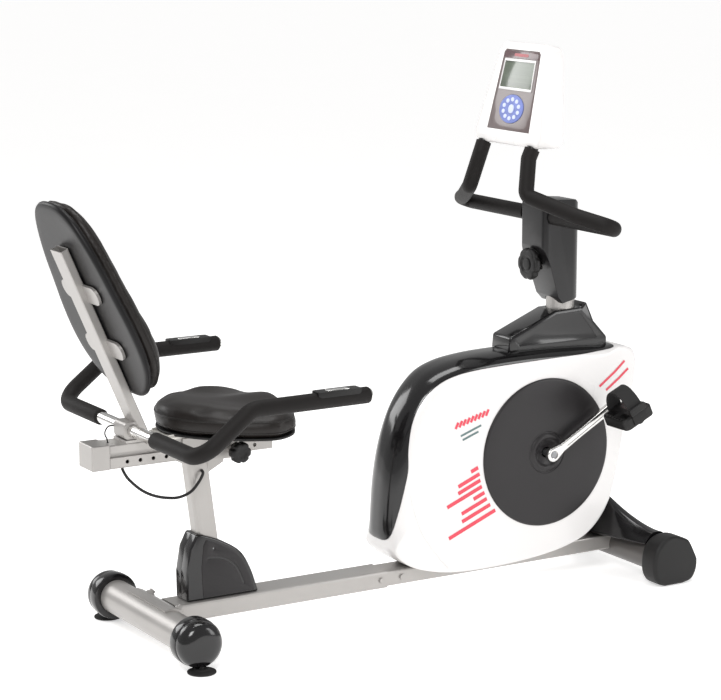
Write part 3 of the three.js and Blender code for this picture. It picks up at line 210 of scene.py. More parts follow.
def display():
    """A segmented liquid crystal: a grey-green field with rows of darker digits."""
    mat = material("display_glass", 0x545f4f, 0.16, vary=0.06, patch=30, grain=1500, bump=0.01, coat=0.6)
    nodes, links = mat.node_tree.nodes, mat.node_tree.links
    shader = nodes["Principled BSDF"]
    field = shader.inputs["Base Color"].links[0].from_socket
    coords = nodes.new("ShaderNodeTexCoord")
    bricks = nodes.new("ShaderNodeTexBrick")
    bricks.inputs["Scale"].default_value = 46
    bricks.inputs["Mortar Size"].default_value = 0.035
    bricks.inputs["Color1"].default_value = (0.05, 0.06, 0.05, 1)
    bricks.inputs["Color2"].default_value = (0.5, 0.55, 0.48, 1)
    bricks.inputs["Mortar"].default_value = (0.5, 0.55, 0.48, 1)
    turn = nodes.new("ShaderNodeMapping")
    turn.inputs["Rotation"].default_value = (math.radians(90), 0, math.radians(90))
    mix = nodes.new("ShaderNodeMix")
    mix.data_type = "RGBA"
    mix.blend_type = "MULTIPLY"
    mix.inputs["Factor"].default_value = 0.35
    links.new(coords.outputs["Object"], turn.inputs["Vector"])
    links.new(turn.outputs["Vector"], bricks.inputs["Vector"])
    links.new(field, mix.inputs["A"])
    links.new(bricks.outputs["Color"], mix.inputs["B"])
    links.new(mix.outputs["Result"], shader.inputs["Base Color"])
    return mat


LENS = display()

# ---------------------------------------------------------------- shapes

def arc(cx, cz, radius, start, end, steps):
    angles = [math.radians(start + (end - start) * i / steps) for i in range(steps + 1)]
    return [(cx + radius * math.cos(a), cz + radius * math.sin(a)) for a in angles]


def circle(centre, first, second, radius, sides):
    """Points round a centre, in the plane of two unit vectors."""
    turns = [2 * math.pi * k / sides for k in range(sides)]
    return [centre + (first * math.cos(a) + second * math.sin(a)) * radius for a in turns]


def rounded(half_u, half_v, radius, steps=6, cu=0.0, cv=0.0):
    u, v = half_u - radius, half_v - radius
    return (arc(cu + u, cv + v, radius, 0, 90, steps) + arc(cu - u, cv + v, radius, 90, 180, steps)
            + arc(cu - u, cv - v, radius, 180, 270, steps) + arc(cu + u, cv - v, radius, 270, 360, steps))


def smooth(points, steps=6, closed=False):
    """Points of a smooth curve through the given ones."""
    pts = [Vector(p) for p in points]
    n = len(pts)
    found = []
    for i in range(n if closed else n - 1):
        b, c = pts[i], pts[(i + 1) % n]
        a = pts[i - 1] if closed or i else b * 2 - c
        d = pts[(i + 2) % n] if closed or i + 2 < n else c * 2 - b
        t = [0.0]
        for p, q in ((a, b), (b, c), (c, d)):
            t.append(t[-1] + max((q - p).length, 1e-6) ** 0.5)
        for s in range(steps):
            u = t[1] + (t[2] - t[1]) * s / steps
            ab = a * ((t[1] - u) / (t[1] - t[0])) + b * ((u - t[0]) / (t[1] - t[0]))
            bc = b * ((t[2] - u) / (t[2] - t[1])) + c * ((u - t[1]) / (t[2] - t[1]))
            cd = c * ((t[3] - u) / (t[3] - t[2])) + d * ((u - t[2]) / (t[3] - t[2]))
            abc = ab * ((t[2] - u) / (t[2] - t[0])) + bc * ((u - t[0]) / (t[2] - t[0]))
            bcd = bc * ((t[3] - u) / (t[3] - t[1])) + cd * ((u - t[1]) / (t[3] - t[1]))
            found.append(abc * ((t[2] - u) / (t[2] - t[1])) + bcd * ((u - t[1]) / (t[2] - t[1])))
    if not closed:
        found.append(pts[-1])
    return found


def curve(points, steps, closed=False):
    """The same curve, as an outline of pairs."""
    return [(p.x, p.y) for p in smooth(points, steps, closed)]


def bent(corners, radius, steps=10):
    """A path of straight runs joined by round bends."""
    pts = [Vector(c) for c in corners]
    path = [pts[0]]
    for before, corner, after in zip(pts, pts[1:], pts[2:]):
        into, out = (corner - before).normalized(), (after - corner).normalized()
        turn = into.angle(out)
        if turn < 1e-4:
            continue
        side = (out - into * out.dot(into)).normalized()
        centre = corner - into * radius * math.tan(turn / 2) + side * radius
        for i in range(steps + 1):
            angle = turn * i / steps
            path.append(centre - side * radius * math.cos(angle) + into * radius * math.sin(angle))
    return path + [pts[-1]]


def loft(rings, closed_ends=True):
    """Rings of equal length joined into one skin."""
    n = len(rings[0])
    verts = [tuple(p) for ring in rings for p in ring]
    faces = []
    for r in range(len(rings) - 1):
        for i in range(n):
            j = (i + 1) % n
            faces.append((r * n + i, r * n + j, (r + 1) * n + j, (r + 1) * n + i))
    if closed_ends:
        faces.append(tuple(range(n))[::-1])
        faces.append(tuple((len(rings) - 1) * n + i for i in range(n)))
    return verts, faces


def sweep(path, radius, sides=28, dome=0.0):
    """A round bar along a path; dome rounds its ends over that length."""
    pts = [Vector(p) for p in path]
    stations = [(p, 1.0) for p in pts]
    if dome:
        steps = 5
        first, last = (pts[0] - pts[1]).normalized(), (pts[-1] - pts[-2]).normalized()
        turns = [math.radians(90 * i / steps) for i in range(steps, 0, -1)]
        curve = [(math.sin(a), math.cos(a)) for a in turns]
        start = [(pts[0] + first * dome * s - first * dome, max(c, 0.04)) for s, c in curve]
        end = [(pts[-1] + last * dome * s - last * dome, max(c, 0.04)) for s, c in reversed(curve)]
        middle = [(p, 1.0) for p in pts[1:-1]]
        stations = start + [(pts[0] - first * dome, 1.0)] + middle + [(pts[-1] - last * dome, 1.0)] + end
    centres = [s[0] for s in stations]
    rings = []
    normal = None
    for i, (centre, scale) in enumerate(stations):
        ahead = centres[min(i + 1, len(centres) - 1)] - centres[max(i - 1, 0)]
        tangent = ahead.normalized()
        if normal is None:
            helper = Vector((0, 0, 1)) if abs(tangent.z) < 0.9 else Vector((1, 0, 0))
            normal = tangent.cross(helper).normalized()
        normal = (normal - tangent * normal.dot(tangent)).normalized()
        other = tangent.cross(normal)
        size = (radius(i / (len(centres) - 1)) if callable(radius) else radius) * scale
        rings.append(circle(centre, normal, other, size, sides))
    return loft(rings)


def rod(x, z, y0, y1, radius, sides):
    """A straight round bar across the machine."""
    return sweep([(x, y0, z), (x, y1, z)], radius, sides)


def post(x, y, z0, z1, radius, sides):
    """A straight upright round bar."""
    return sweep([(x, y, z0), (x, y, z1)], radius, sides)


def lathe(profile, origin, axis, sides=72):
    """A turned shape: profile points are (radius, distance along the axis)."""
    along = Vector(axis).normalized()
    helper = Vector((0, 0, 1)) if abs(along.z) < 0.9 else Vector((1, 0, 0))
    across = along.cross(helper).normalized()
    other = along.cross(across)
    rings = [circle(Vector(origin) + along * h, across, other, r, sides) for r, h in profile]
    hollow = profile[0][0] > 0.01 and profile[0] == profile[-1]
    return loft(rings, not hollow)


def prism(points, to_space, low, high):
    return loft([[to_space(u, v, w) for u, v in points] for w in (low, high)])


def side(u, v, w):
    return (u, w, v)


def plan(u, v, w):
    return (u, v, w)


def merge(*shapes):
    verts, faces = [], []
    for shape_verts, shape_faces in shapes:
        start = len(verts)
        verts += list(shape_verts)
        faces += [tuple(start + i for i in face) for face in shape_faces]
    return verts, faces


def raw(name, shape):
    verts, faces = shape
    mesh = bpy.data.meshes.new(name)
    mesh.from_pydata([place(v) for v in verts], [], faces)
    bm = bmesh.new()
    bm.from_mesh(mesh)
    bmesh.ops.remove_doubles(bm, verts=bm.verts, dist=1e-6)
    bmesh.ops.recalc_face_normals(bm, faces=bm.faces)
    bm.to_mesh(mesh)
    bm.free()
    obj = bpy.data.objects.new(name, mesh)
    scene.collection.objects.link(obj)
    return obj


def settle(obj):
    """Applies the piece's modifiers."""
    graph = bpy.context.evaluated_depsgraph_get()
    mesh = bpy.data.meshes.new_from_object(obj.evaluated_get(graph))
    old = obj.data
    obj.modifiers.clear()
    obj.data = mesh
    mesh.name = obj.name
    bpy.data.meshes.remove(old)
    return obj


def bevel(obj, width, segments=3, angle=32):
    mod = obj.modifiers.new("edge", "BEVEL")
    mod.width = width / 1000
    mod.segments = segments
    mod.limit_method = "ANGLE"
    mod.angle_limit = math.radians(angle)
    return settle(obj)


def boolean(obj, tool, operation="DIFFERENCE"):
    other = tool if isinstance(tool, bpy.types.Object) else raw("tool", tool)
    mod = obj.modifiers.new("cut", "BOOLEAN")
    mod.operation = operation
    mod.solver = "EXACT"
    mod.object = other
    settle(obj)
    if other is not tool:
        bpy.data.objects.remove(other)
    return obj


def copy_of(obj, name):
    twin = bpy.data.objects.new(name, obj.data.copy())
    scene.collection.objects.link(twin)
    return twin


def dress(obj, mat, body, slot, *stands, sharp=38, blended=False):
    """Gives the piece its finish and, unless blended, its body, and hides the CAD nodes it stands for; its slot
    is not used.
    """
    obj.data.materials.clear()
    obj.data.materials.append(mat)
    for face in obj.data.polygons:
        face.use_smooth = True
        face.material_index = 0
    obj.data.set_sharp_from_angle(angle=math.radians(sharp))
    if not blended:
        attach(obj, body)
    if stands:
        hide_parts(*stands)
    return obj


def piece(name, shape, mat, body, slot, *stands, edge=0.0, segments=3, sharp=38):
    obj = raw(name, shape)
    if edge:
        bevel(obj, edge, segments)
    return dress(obj, mat, body, slot, *stands, sharp=sharp)


SIDES = [("right", -1), ("left", 1)]


def span(way, near, far):
    return (-far, -near) if way < 0 else (near, far)


# ---------------------------------------------------------------- the slack lead, drawn first

LEAD_ROUTE = [
    (-62, 0, 380.4), (-61.5, -0.5, 372), (-54, -7, 354), (-40, -13, 338), (-30, -17, 329),
    (-14, -22, 319), (4, -26, 312), (22, -29, 308), (42, -31, 306), (60, -32, 309),
    (76, -32, 316), (89, -31, 328), (98, -31, 340), (103, -29, 349), (104, -21.4, 352.5),
]
lead_path = smooth(LEAD_ROUTE, 4)
lead = raw("seat_lead_cable", sweep(lead_path, 3, 14))
dress(lead, RUBBER, "carriage", "soft_black", "seat_lead", blended=True)
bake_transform(lead)

WIRE_ROUTE = [(-61.5, 31, 454), (-74, 29, 455), (-86, 20, 451), (-94, 8, 444), (-93, 1, 436), (-92, 0, 428)]
piece("sensor_wire_cable", sweep(smooth(WIRE_ROUTE, 6), 1.4, 10), RUBBER, "carriage", "soft_black",
      "sensor_wire")

# ---------------------------------------------------------------- floor frame

CROSS_TUBES = [
    ("rear", 0, REAR_FOOT_Z, 200, SILVER, "silver_paint"),
    ("front", FRONT_FOOT_X, FRONT_FOOT_Z, 190, DARK_TUBE, "dark_paint"),
]
for name, x, z, half, mat, slot in CROSS_TUBES:
    profile = [(32.5, -half), (34.4, -half), (FOOT_RADIUS, 0.6 - half), (FOOT_RADIUS, half - 0.6), (34.4, half),
               (32.5, half), (32.5, -half)]
    tube = lathe(profile, (x, 0, z), (0, 1, 0), 96)
    piece(f"{name}_cross_tube", tube, mat, "frame", slot, f"{name}_foot_tube")

for name, way in SIDES:
    # The rear caps: a raised collar, a barrel and a domed end with a moulded step.
    profile = [(35.3, 171), (46, 171), (48, 172), (49, 175), (49, 194), (48.4, 196), (47.4, 197), (47.6, 199),
               (47.9, 203), (47, 210), (44.5, 217), (40, 223), (33, 227.5), (22, 230), (10, 230.8), (0.3, 231)]
    socket = [(0.3, 201), (35.3, 201), (35.3, 171)]
    cap = raw(f"rear_end_cap_{name}", lathe(profile + socket, (0, 0, REAR_FOOT_Z), (0, way, 0), 96))
    boolean(cap, post(0, way * LEVELER_Y, -1, 51, 5.4, 24))
    dress(cap, GLOSS, "frame", "black_gloss", f"rear_cap_{name}", sharp=30)
    pad = [(0.3, 0.0), (26, 0.0), (28.4, 0.7), (29, 2), (28.6, 3.6), (26, 4.4), (17, 5.3), (14.4, 6.2), (13, 8),
           (12, 8.4), (5, 8.6), (5, 50), (0.3, 50)]
    pad_shape = lathe(pad, (0, way * LEVELER_Y, 0), (0, 0, 1), 64)
    piece(f"levelling_foot_{name}", pad_shape, RUBBER, f"{name}_leveler", "soft_black", f"leveler_{name}")

# The front caps: a rounded foot with a facet, a pocket for the wheel and its axle.
CAP_SIDE = smooth([
    (1190, 0.5), (1214, 7), (1227, 28), (1228, 60), (1217, 86), (1195, 102), (1166, 110), (1136, 104),
    (1116, 85), (1109, 56), (1112, 26), (1124, 8), (1142, 0.5)], 5)
for name, way in SIDES:
    outline = [(p.x, max(p.y, 0)) for p in CAP_SIDE]
    cap = raw(f"front_end_cap_{name}", prism(outline, side, *span(way, 160, 212)))
    bevel(cap, 9, 6, 50)
    boolean(cap, rod(FRONT_FOOT_X, FRONT_FOOT_Z, way * 159, way * 191, 35.3, 72))
    boolean(cap, rod(WHEEL_X, WHEEL_Z, way * 179, way * 197, 25, 40))
    facet = [(1206, way * 150, 116), (1236, way * 150, 64), (1236, way * 216, 30), (1196, way * 216, 108)]
    verts = facet + [(x + 40, y, z + 40) for x, y, z in facet]
    boolean(cap, (verts, [(0, 1, 2, 3), (7, 6, 5, 4), (0, 4, 5, 1), (1, 5, 6, 2), (2, 6, 7, 3), (3, 7, 4, 0)]))
    boolean(cap, rod(WHEEL_X, WHEEL_Z, way * 178, way * 198, 4, 24), "UNION")
    dress(cap, MOULDED, "frame", "soft_black", f"front_cap_{name}")
    inner = [(4.3, -8), (9, -8), (10, -6.5), (16, -6.5), (17.5, -8), (20.5, -8), (22.8, -6.6), (23.5, -4)]
    tread = inner + [(r, -y) for r, y in reversed(inner)] + inner[:1]
    piece(f"roller_{name}", lathe(tread, (WHEEL_X, way * WHEEL_Y, WHEEL_Z), (0, 1, 0), 48), RUBBER,
          f"{name}_wheel", "soft_black", f"transport_wheel_{name}")

# ---------------------------------------------------------------- drive housing

HOUSING_LINE = [
    (1150, 507), (1060, 520), (930, 527), (814, 527), (745, 523), (688, 514), (642, 496), (606, 465),
    (578, 426), (559, 384), (543, 330), (533, 272), (528, 210), (527, 162), (536, 130), (556, 106),
    (588, 86), (640, 70), (700, 61), (815, 60), (920, 68), (985, 80), (1034, 98), (1070, 128),
    (1097, 170), (1116, 236), (1133, 321), (1149, 390), (1160, 443), (1162, 480),
]
HOUSING_EDGE = curve(HOUSING_LINE, 4, True)
COVER_LINE = curve([
    (505, 122), (526, 140), (538, 164), (550, 210), (562, 262), (570, 300), (573, 346), (584, 396),
    (600, 430), (624, 459), (655, 481), (692, 493), (740, 499), (800, 502), (930, 505), (1050, 507),
    (1104, 512), (1140, 530)], 5)



def outward(points):
    """The unit vectors pointing out of a counter-clockwise or clockwise closed outline."""
    area = sum(a[0] * b[1] - b[0] * a[1] for a, b in zip(points, points[1:] + points[:1]))
    turn = 1 if area > 0 else -1
    found = []
    for i in range(len(points)):
        a, b = points[i - 1], points[(i + 1) % len(points)]
        length = math.hypot(b[0] - a[0], b[1] - a[1]) or 1
        found.append((turn * (b[1] - a[1]) / length, -turn * (b[0] - a[0]) / length))
    return found


def grow(points, distance):
    return [(p[0] + n[0] * distance, p[1] + n[1] * distance) for p, n in zip(points, outward(points))]


HOUSING_OUT = outward(HOUSING_EDGE)


def crown_weight(x, z):
    """How much of the arch an outline point has: full over the top and rear, none at the bottom and front."""
    rear = min(max((z - 120) / 60, 0), 1) * min(max((960 - x) / 80, 0), 1)
    top = min(max((z - 495) / 15, 0), 1) * min(max((1130 - x) / 60, 0), 1)
    blend = max(rear, top)
    return blend * blend * (3 - 2 * blend)


HOUSING_HALF = 63
CROWN_SPAN = 56
EDGE_RADIUS = 9
REAR_INSET, TOP_INSET = 46, 25


def quarter_round(reach, start, length):
    """The drop of a quarter round, from 0 at its start to 1 at its end."""
    s = min(max((reach - start) / length, 0), 1)
    return 1 - math.sqrt(max(1 - s * s, 0))


def housing_ring(y, extra):
    """A slice of the housing: its outline drawn in by the crown and by the rounded side edge."""
    crown = quarter_round(abs(y), HOUSING_HALF - CROWN_SPAN + extra, CROWN_SPAN)
    edge = EDGE_RADIUS * quarter_round(abs(y), HOUSING_HALF - EDGE_RADIUS + extra, EDGE_RADIUS)
    ring = []
    for (x, z), (nx, nz) in zip(HOUSING_EDGE, HOUSING_OUT):
        weight = crown_weight(x, z)
        dx = max(REAR_INSET * crown * weight, edge)
        dz = max(TOP_INSET * crown * weight, edge)
        ring.append((x + nx * (extra - dx), y, z + nz * (extra - dz)))
    return ring


def housing_block(extra=0.0):
    """The whole housing, grown by some millimetres; its slices stand closer together towards the sides."""
    steps = [0, 7, 14, 21, 28, 35, 41, 46, 50, 53, 55.5, 57.5, 59.3, 60.8, 62, 62.7, HOUSING_HALF]
    ys = [-(s + extra) for s in reversed(steps[1:])] + [s + extra if s else 0 for s in steps]
    return loft([housing_ring(y, extra) for y in ys])


def cover_region(drop):
    """The space behind and above the line where the dark cover meets the white sides."""
    line = COVER_LINE
    moved = []
    for i, (x, z) in enumerate(line):
        a, b = line[max(i - 1, 0)], line[min(i + 1, len(line) - 1)]
        length = math.hypot(b[0] - a[0], b[1] - a[1])
        moved.append((x + (b[1] - a[1]) / length * drop, z - (b[0] - a[0]) / length * drop))
    return prism(moved + [(1150, 560), (480, 560), (480, 122)], side, -80, 80)


def box(x0, x1, y0, y1, z0, z1):
    return prism([(x0, y0), (x1, y0), (x1, y1), (x0, y1)], plan, z0, z1)


# The hollow shell, open for the beam, the mast and the crank's bearing; a cover and two sides come from it.
hull = raw("housing", housing_block())
boolean(hull, housing_block(-3))
boolean(hull, box(440, 1200, -BEAM_HALF, BEAM_HALF, BEAM_LOW, BEAM_TOP))
boolean(hull, post(MAST_X, 0, 70, 700, MAST_HOLE, 48))
boolean(hull, rod(CRANK_X, CRANK_Z, -90, 90, 20, 40))
cover = copy_of(hull, "housing_cover")
boolean(cover, cover_region(-0.9), "INTERSECT")
bevel(cover, 1.2, 2, 50)
dress(cover, GLOSS, "frame", "black_gloss", "housing_top_cover", sharp=30)
boolean(hull, cover_region(0))
SEAM = [(565, 283), (575, 238), (598, 170), (629, 122), (669, 76)]
boolean(hull, box(400, 1300, 0.2, 100, 0, 700), "INTERSECT")
boolean(hull, sweep(smooth([(x, 63.4, z) for x, z in SEAM], 8), 1.3, 10))
for name, way in SIDES:
    shell = copy_of(hull, f"housing_side_{name}")
    if way < 0:
        shell.data.transform(Matrix.Scale(-1, 4, (0, 1, 0)))
        shell.data.flip_normals()
    dress(shell, WHITE, "frame", "white_shell", f"housing_shell_{name}", sharp=30)
bpy.data.objects.remove(hull)


def strip(a, b, width, y):
    """A flat bar between two points of a side's face."""
    (x0, z0), (x1, z1) = a, b
    length = math.hypot(x1 - x0, z1 - z0)
    nx, nz = -(z1 - z0) / length * width / 2, (x1 - x0) / length * width / 2
    corners = [(x0 + nx, z0 + nz), (x0 - nx, z0 - nz), (x1 - nx, z1 - nz), (x1 + nx, z1 + nz)]
    return prism(corners, side, *sorted((y, y * 1.004)))


# Plain stepped bars, stripes and a two-line mark of bars on each side: (front end, length) of each bar.
ROWS = [(744, 18), (748, 54), (750, 56), (754, 88), (761, 28), (767, 64), (776, 72), (789, 118)]
bars = []
for i, (right, length) in enumerate(ROWS):
    end = (right, 287 - i * 14.2)
    bars.append(((right - length, end[1] - length * 0.4), end))
marks = []
for i in range(9):
    x, z = 686 + i * 9.6, 378 + i * 2.5
    marks.append(((x, z), (x + 6.6, z + 13.5), 6.0, RED))
marks += [((699, 361), (751, 379), 4.5, GREY_GREEN), ((704, 352), (744, 366), 4.5, GREY_GREEN)]
stripes = [[(1061, 430), (1102, 459), (1128, 481)], [(1079, 420), (1114, 444), (1138, 463)]]
for name, way in SIDES:
    y = way * SHELL_FACE
    stepped = merge(*[strip(a, b, 8.4, y) for a, b in bars])
    striped = merge(*[strip(a, b, 5.5, y) for line in stripes for a, b in zip(line, line[1:])])
    piece(f"stepped_bars_{name}", stepped, RED, "frame", "white_shell")
    piece(f"corner_stripes_{name}", striped, RED, "frame", "white_shell")
    for i, (a, b, width, mat) in enumerate(marks):
        piece(f"plain_mark_{i}_{name}", strip(a, b, width, y), mat, "frame", "white_shell")

DISC = [(12, 0), (163, 0), (163, 1.2), (162.4, 2.2), (160.5, 3.3), (157, 4), (118, 4.3), (60, 4.6), (46.5, 4.8),
        (45.5, 3.6), (44, 3.4), (42.6, 4.2), (41, 6.2), (37, 7.4), (34, 7.7), (31, 7.2), (29, 5), (24, 3),
        (16, 1.8), (12, 1.6), (12, 0)]
for name, way in SIDES:
    disc = lathe(DISC, (CRANK_X, way * 63.3, CRANK_Z), (0, way, 0), 160)
    piece(f"crank_disc_{name}", disc, CHARCOAL, "frame", "charcoal", f"disc_cover_{name}", sharp=50)

# The mast boot: a wedge with a flat rear nose and a sunk panel in each side.
BOOT = [(840, 520), (843, 555), (962, 603), (1028, 605), (1043, 617), (1064, 572), (1100, 534), (1100, 510),
        (840, 510)]
boot = raw("mast_fairing", prism(BOOT, side, -36, 36))
bevel(boot, 6, 4, 30)
BOOT_PANEL = [(866, 534), (868, 552), (962, 590), (1026, 592), (1048, 566), (1072, 534)]
for name, way in SIDES:
    boolean(boot, prism(BOOT_PANEL, side, *span(way, 35, 60)))
boolean(boot, post(MAST_X, 0, 480, 700, MAST_HOLE, 64))
house = raw("tool_block", housing_block(0.3))
boolean(boot, house)
bevel(boot, 0.8, 2, 45)
dress(boot, GLOSS, "frame", "black_gloss", "mast_boot", sharp=30)


def fillet(corners, radius, steps=4):
    """A closed outline with its corners rounded."""
    found = []
    for i, corner in enumerate(corners):
        c = Vector(corner)
        a, b = Vector(corners[i - 1]) - c, Vector(corners[(i + 1) % len(corners)]) - c
        reach = min(radius, a.length * 0.45, b.length * 0.45)
        p, q = c + a.normalized() * reach, c + b.normalized() * reach
        for s in range(steps + 1):
            t = s / steps
            point = p * (1 - t) ** 2 + c * 2 * t * (1 - t) + q * t * t
            found.append((point.x, point.y))
    return found


FAIRING_HALF = 159.7
FAIRING_FOOT = 86


def fairing_ring(y):
    """A slice of the front foot's fairing, which flares down and out from the housing to both caps."""
    reach = min(abs(y) / FAIRING_HALF, 1)
    ease = min(max((abs(y) - 26) / 133.7, 0), 1)
    drop = 1 - (1 - ease) ** 1.6
    top = 172 - 60 * drop
    rear_top, front_top = 1094 + 49 * reach, 1111 + 54 * reach
    rear_low, front_low = 1071 + 48 * reach, 1181 + 8 * reach
    waist = (top + FAIRING_FOOT) / 2 + 4
    corners = [(rear_low, FAIRING_FOOT), (front_low, FAIRING_FOOT),
               (front_top + (front_low - front_top) * 0.42, waist), (front_top, top),
               (rear_top, top), (rear_top - (rear_top - rear_low) * 0.42, waist)]
    return [(x, y, z) for x, z in fillet(corners, 7)]


slices = [fairing_ring(-FAIRING_HALF + 2 * FAIRING_HALF * i / 48) for i in range(49)]
fairing = raw("front_fairing", loft(slices))
boolean(fairing, rod(FRONT_FOOT_X, FRONT_FOOT_Z, -220, 220, 35.4, 80))
boolean(fairing, box(1035, 1215, -BEAM_HALF, BEAM_HALF, 40, BEAM_TOP))
boolean(fairing, house)
bpy.data.objects.remove(house)
dress(fairing, GLOSS, "frame", "black_gloss", "front_foot_cover", sharp=30)

# ---------------------------------------------------------------- mast, clamp and console

def head_plan(grown):
    """The mast head seen from above: round in front, with two small corners at the rear."""
    return (arc(MAST_X, 0, 35.5 + grown, -80, 80, 20) + arc(932, 34, 12 + grown, 90, 180, 6)
            + arc(932, -34, 12 + grown, 180, 270, 6))


def head_side(d):
    """The mast head seen from the side, grown by d."""
    return [(920 - d, 838 + d), (950, 846 + d), (1012, 842 + d), (1034 + d, 828), (1034 + d, 640),
            (1026, 626 - d), (976, 618 - d), (962 - d, 634), (940 - d, 700), (920 - d, 745)]


head = raw("head_shell", prism(head_plan(0), plan, 600, 860))
boolean(head, prism(head_side(0), side, -70, 70), "INTERSECT")
bevel(head, 3.5, 4, 35)
inside = raw("tool_inside", prism(head_plan(-3), plan, 590, 870))
boolean(inside, prism(head_side(-3), side, -70, 70), "INTERSECT")
boolean(head, inside)
bpy.data.objects.remove(inside)
boolean(head, post(MAST_X, 0, 590, 640, MAST_HOLE, 64))
boolean(head, rod(BAR_X, BAR_Z, -70, 70, 14.5, 48))
boolean(head, sweep([(900, 0, CLAMP_Z), (946, 0, CLAMP_Z)], 15, 40))
dress(head, SATIN, "frame", "charcoal", "mast_head_cover", sharp=32)


def lobed(base, axis, up, lobes, radius, dent, sections):
    """A hand knob with finger hollows: sections are (distance along the axis, share of the radius)."""
    along, up_axis = Vector(axis), Vector(up)
    across = along.cross(up_axis)
    rings = []
    for h, share in sections:
        ring = []
        for k in range(96):
            angle = 2 * math.pi * k / 96
            r = radius * share * (1 - dent * max(math.cos(lobes * angle), 0) ** 2)
            ring.append(Vector(base) + along * h + (up_axis * math.cos(angle) + across * math.sin(angle)) * r)
        rings.append(ring)
    return loft(rings)


REAR, UP, RIGHT = (-1, 0, 0), (0, 0, 1), (0, -1, 0)
knob_base = (935.5, 0, CLAMP_Z)
knob = lobed(knob_base, REAR, UP, 6, 35, 0.08,
             [(14, 0.86), (15.5, 0.96), (18, 1.0), (24, 1.0), (27, 0.97), (29.3, 0.9), (30.4, 0.8), (30.7, 0.66),
              (31, 0.6), (30, 0.55), (28.6, 0.48), (28.4, 0.3)])
neck = lathe([(0.3, 0), (12, 0), (13, 2), (13, 15), (0.3, 15)], knob_base, REAR, 48)
button = lathe([(0.3, 28), (13, 28), (13, 29.6), (11.6, 30.6), (6, 31), (0.3, 31)], knob_base, REAR, 48)
stem = lathe([(0.3, 0), (5.6, 0), (5.6, 54), (0.3, 54)], (936, 0, CLAMP_Z), (1, 0, 0), 32)
piece("clamp_hand_knob", merge(knob, neck, button, stem), MOULDED, "clamp_screw", "soft_black", "clamp_knob")

pull = lobed((PIN_X, -62, PIN_Z), RIGHT, UP, 6, 22, 0.13,
             [(0, 0.8), (1.5, 0.94), (4, 1.0), (16, 1.0), (19, 0.96), (20.8, 0.86), (21.6, 0.7), (21.2, 0.55),
              (20.4, 0.42), (20.2, 0.2)])
pin = lathe([(0.3, 0), (3.7, 0), (3.7, 34), (0.3, 34)], (PIN_X, -30.6, PIN_Z), RIGHT, 32)
piece("pull_knob", merge(pull, pin), MOULDED, "pull_pin", "soft_black", "pull_pin_knob")

# The front bar and its foam both end at the console's underside.
PRONG = [(846, 90, 945), (829, 106, 870), (885, 213, 834), (931, 300, 813), (BAR_X, 262, BAR_Z)]
left_bar = [(855.8, 91.5, 968)] + PRONG
corners = left_bar + [(x, -y, z) for x, y, z in reversed(left_bar)]
piece("front_bar", sweep(bent(corners, 19), TUBE_RADIUS), SATIN, "front_handlebar", "dark_paint",
      "front_handlebar_tube")
for name, way in SIDES:
    path = [(x, way * y, z) for x, y, z in [(854.3, 91.2, 964.5)] + PRONG + [(BAR_X, 52, BAR_Z)]]
    foam = sweep(bent(path, 19, 12), FOAM_RADIUS, 32)
    piece(f"front_foam_{name}", foam, FOAM, "front_handlebar", "soft_black", f"front_grip_{name}")

CONSOLE_RUN, CONSOLE_RISE = (CONSOLE_TOP[i] - CONSOLE_BOTTOM[i] for i in (0, 1))
TILT = math.atan2(CONSOLE_RUN, CONSOLE_RISE)
HEIGHT = math.hypot(CONSOLE_RUN, CONSOLE_RISE)


def face(u, v, w):
    """The console's sloping face: u to the right as the rider sees it, v up the face, w out of it."""
    x, z = CONSOLE_BOTTOM
    return (x + v * math.sin(TILT) - w * math.cos(TILT), -u, z + v * math.cos(TILT) + w * math.sin(TILT))


CASE_FRONT = [(-119, 6), (-105, 0), (105, 0), (119, 6), (127, 24), (89, HEIGHT - 16), (75, HEIGHT), (-75, HEIGHT),
              (-89, HEIGHT - 16), (-127, 24)]
CASE_SIDE = [(795, 940), (847, 966), (898, 966), (908, 978), (935, 1172), (928, 1190), (875, 1200)]
console = raw("console_case", prism(CASE_FRONT, face, -120, 0))
bevel(console, 9, 5, 20)
boolean(console, prism(CASE_SIDE, side, -140, 140), "INTERSECT")
bevel(console, 5, 4, 40)
PANEL = [(-78, 30), (78, 30), (67, 196), (61, 202), (-61, 202), (-67, 196)]
boolean(console, prism(grow(PANEL, 0.3), face, -4, 12))
dress(console, WHITE, "front_handlebar", "white_shell", "console_body", sharp=32)

panel = raw("console_film", prism(PANEL, face, -3.7, 0.6))
bevel(panel, 0.8, 2, 60)
LENS_OUTLINE = [(-58, 120), (58, 120), (55, 178), (-55, 178)]
boolean(panel, prism(grow(LENS_OUTLINE, 0.3), face, -2, 3))


def oval(grown, half_u=44, half_v=31, cu=0, cv=76, count=96):
    """An ellipse in the plane of the console's face; without sizes it is the keypad's."""
    turns = [2 * math.pi * i / count for i in range(count)]
    return [(cu + (half_u + grown) * math.cos(a), cv + (half_v + grown) * math.sin(a)) for a in turns]


boolean(panel, prism(oval(0.3), face, -2.2, 3))
dress(panel, FACE, "front_handlebar", "face", "console_face_panel")
WINDOW = [(-64, 184), (64, 184), (62.5, 194), (58, 199), (-58, 199), (-62.5, 194)]
piece("console_window", prism(WINDOW, face, 0.6, 1.2), DARK_CAP, "front_handlebar", "face", edge=0.4)
piece("console_glow", prism(rounded(26, 3.2, 3, 4, 0, 191), face, 1.2, 1.5), RED_GLOW, "front_handlebar",
      "face")
rim = raw("display_rim", prism(grow(LENS_OUTLINE, 5), face, 0.6, 2.4))
boolean(rim, prism(grow(LENS_OUTLINE, -1), face, 0, 3))
bevel(rim, 0.5, 2, 40)
dress(rim, WHITE, "front_handlebar", "white_shell")
glass = prism(LENS_OUTLINE, face, -1.7, 1.1)
piece("display_glass", glass, LENS, "front_handlebar", "lens", "display_lens", edge=0.3)

